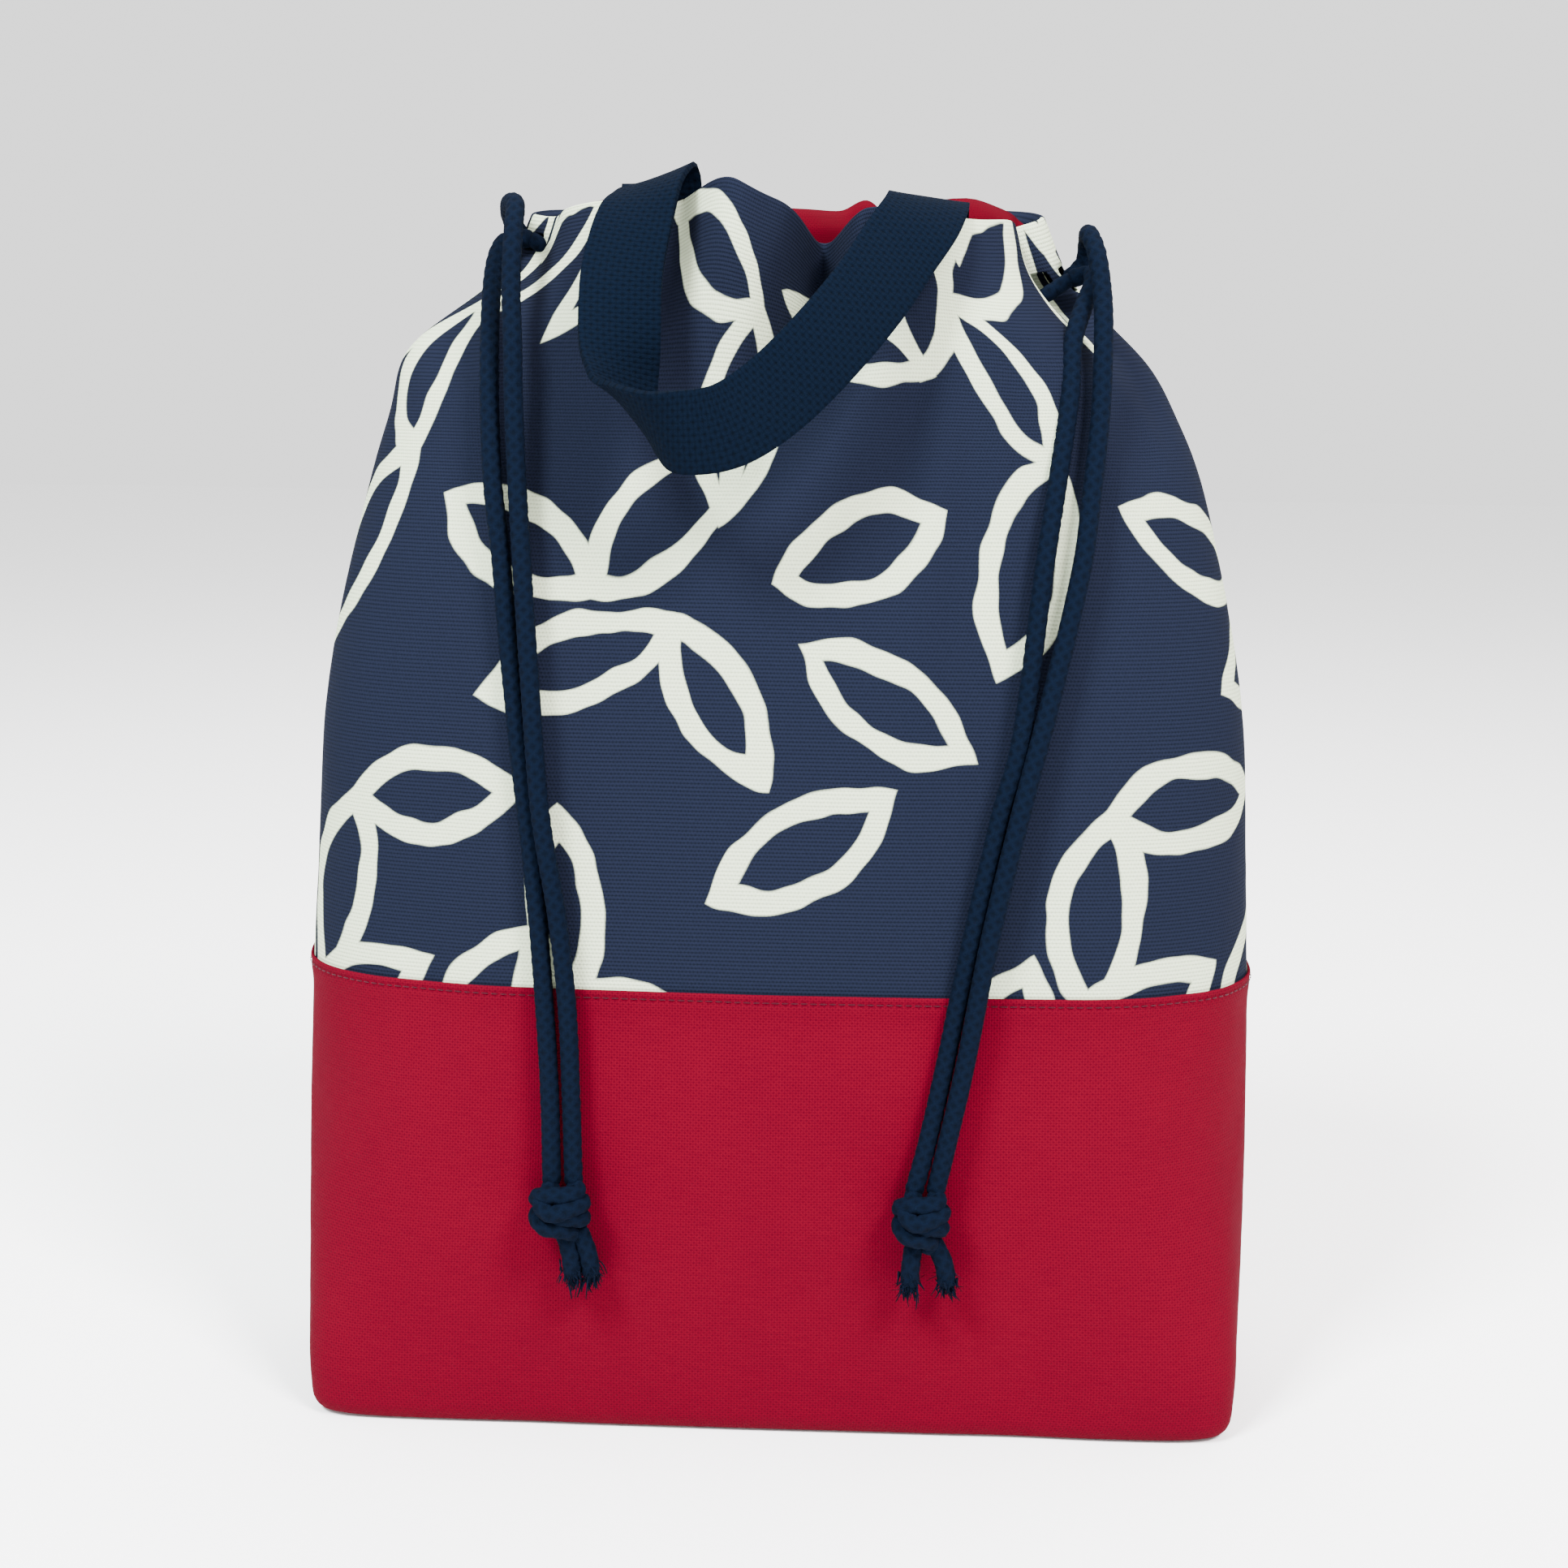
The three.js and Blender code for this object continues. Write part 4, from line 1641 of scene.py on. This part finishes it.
@dataclass
class Studio:
    """Camera, pale floor and soft light."""

    distance: float = 0.735
    look_at_x: float = -0.0005
    look_at_z: float = 0.2105
    pitch: float = 10.5
    azimuth: float = 2.5
    roll: float = -0.7
    lens: float = 50.0
    floor_side: float = 6.0  # from the middle to each edge
    floor_gap: float = 0.5 * MM
    surroundings: float = 1.7
    lamps: tuple[Lamp, ...] = (
        Lamp("left_key", (-0.8, -1.1, 1.7), 0.5, 140.0, (0.93, 0.98, 1.0)),
        Lamp("right_key", (0.9, -1.1, 1.6), 0.5, 120.0, (1.0, 0.93, 0.95)),
        Lamp("top", (0.1, 0.3, 1.8), 1.2, 40.0, (1.0, 1.0, 1.0)),
    )

    def camera(self) -> None:
        """Sets the camera a little above the base, level with the mouth."""
        data = bpy.data.cameras.new("camera")
        data.lens = self.lens
        data.clip_start = 0.01
        made = bpy.data.objects.new("camera", data)
        bpy.context.scene.collection.objects.link(made)
        tilt, turn = math.radians(self.pitch), math.radians(self.azimuth)
        flat = self.distance * math.cos(tilt)
        made.location = (
            self.look_at_x + flat * math.sin(turn),
            -flat * math.cos(turn),
            self.look_at_z + self.distance * math.sin(tilt),
        )
        made.rotation_euler = (math.pi / 2 - tilt, math.radians(self.roll), turn)
        bpy.context.scene.camera = made

    def floor(self) -> None:
        """A large pale floor just under the bag."""
        corners = self.floor_side * np.array(((-1, -1, 0), (1, -1, 0), (1, 1, 0), (-1, 1, 0)))
        made = mesh_from("studio_floor", corners - UP * self.floor_gap, [(0, 1, 2, 3)], corners[:, :2])
        made.data.materials.append(StudioFloor().material())

    def light(self) -> None:
        """Even white surroundings and three soft lamps."""
        world = bpy.data.worlds.new("studio")
        world.use_nodes = True
        tree = world.node_tree
        tree.nodes.clear()
        white = {"Color": (1, 1, 1, 1), "Strength": self.surroundings}
        glow = add_node(tree, "ShaderNodeBackground", white)
        add_node(tree, "ShaderNodeOutputWorld", {0: glow.outputs[0]})
        bpy.context.scene.world = world
        for lamp in self.lamps:
            lamp.hang()


LEFT_EXIT_Z = 388.5
RIGHT_EXIT_Z = 377.5
LEFT_ROUTES = {
    "left_strand_front": [
        (-82.5, -5.6, LEFT_EXIT_Z), (-87, -4, 388), (-91, -6.5, 386.5), (-92.5, -15, 379),
        (-92, -26, 365), (-91, -35, 350), (-90, -41, 332), (-88.5, -46, 312), (-85.5, -49.5, 288),
        (-83, -52.5, 262), (-79, -56, 225), (-76, -57.5, 200), (-72.7, -59.5, 166), (-70, -61.5, 125),
        (-69.1, -63, 90.6),
    ],
    "left_strand_back": [
        (-83.2, 5.4, LEFT_EXIT_Z), (-87, 5, 390), (-90, 2.5, 395), (-88.5, -8.5, 398.8),
        (-84.8, -20, 397.5), (-84, -30, 388), (-83.6, -37, 372), (-82.4, -42.5, 355),
        (-81.8, -45.5, 337), (-80.5, -48.5, 313), (-78.5, -53, 288), (-76, -57, 256),
        (-72.4, -60.5, 212), (-67, -61.8, 178), (-64, -61.8, 148), (-62.8, -62, 115),
        (-62.1, -63, 90.6),
    ],
}
RIGHT_ROUTES = {
    "right_strand_back": [
        (91, 5.6, RIGHT_EXIT_Z), (96, 5.5, 383), (96.5, 1, 389.5), (96, -9, 391), (98, -18, 384),
        (99.5, -26, 370), (99.5, -33, 355), (98.8, -39, 335), (96.5, -45.5, 312), (93.6, -50.5, 288),
        (85.5, -56.5, 250), (76.5, -61, 212), (68.5, -63, 174), (62, -63, 134), (57, -63, 108),
        (53.4, -63, 90.6),
    ],
    "right_strand_front": [
        (91, -5.6, RIGHT_EXIT_Z), (96.5, -6.5, 378.5), (97.5, -12.5, 376), (94, -20.5, 368),
        (90.5, -28.5, 357), (89.5, -36.5, 340), (85.6, -45, 312), (82.3, -50.5, 288), (76.8, -56, 238),
        (70.7, -57.8, 212), (65, -59.5, 184), (59.3, -59.5, 153), (56, -59.8, 134), (50.9, -61, 108),
        (46.6, -63, 90.6),
    ],
}


def main() -> None:
    """Builds the studio and then the bag, piece by piece."""
    studio = Studio()
    studio.camera()
    studio.floor()
    studio.light()
    cord_finish = BraidedCotton().material()
    left = Drawstring(
        Side.LEFT, LEFT_ROUTES, (-65.5, -63, 82), ((3.4, -0.5), (4.2, 0.5)), tail_shift=2.2, seed=3
    )
    right = Drawstring(
        Side.RIGHT, RIGHT_ROUTES, (50, -63, 82), ((-1.5, -0.5), (5.5, 0.5)), knot_width=0.9, seed=8
    )
    for drawstring in (left, right):
        for piece in drawstring.build(cord_finish):
            log.info("made %s", piece.name)
    cloth = BagCloth(seam_z=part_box("base_front")[1][2])
    cloth.simulate()
    parts = BagParts(cloth)
    for piece in (parts.printed_upper(), parts.base(), parts.lining()):
        log.info("made %s with %d faces", piece.name, len(piece.data.polygons))
    for drawstring in (left, right):
        ends = [np.array(route[0]) * MM for route in drawstring.routes.values()]
        parts.cord_in_channel(drawstring.side, ends, cord_finish)
    hem = StitchRow("base_hem_stitches", parts.seam_line(2.5 * MM, 1.2 * MM))
    hem.build(SewingThread("crimson_thread", "2e000e").material(), BAG_BODY, "base_canvas")
    webbing = CottonWebbing().material()
    handle = WebbingHandle()
    loop = handle.loop(webbing)
    sewn_ends = [handle.end(node, webbing) for node in ("handle_end_left", "handle_end_right")]
    for piece in (loop, *sewn_ends):
        log.info("made %s", piece.name)


if __name__ == "__main__":
    main()
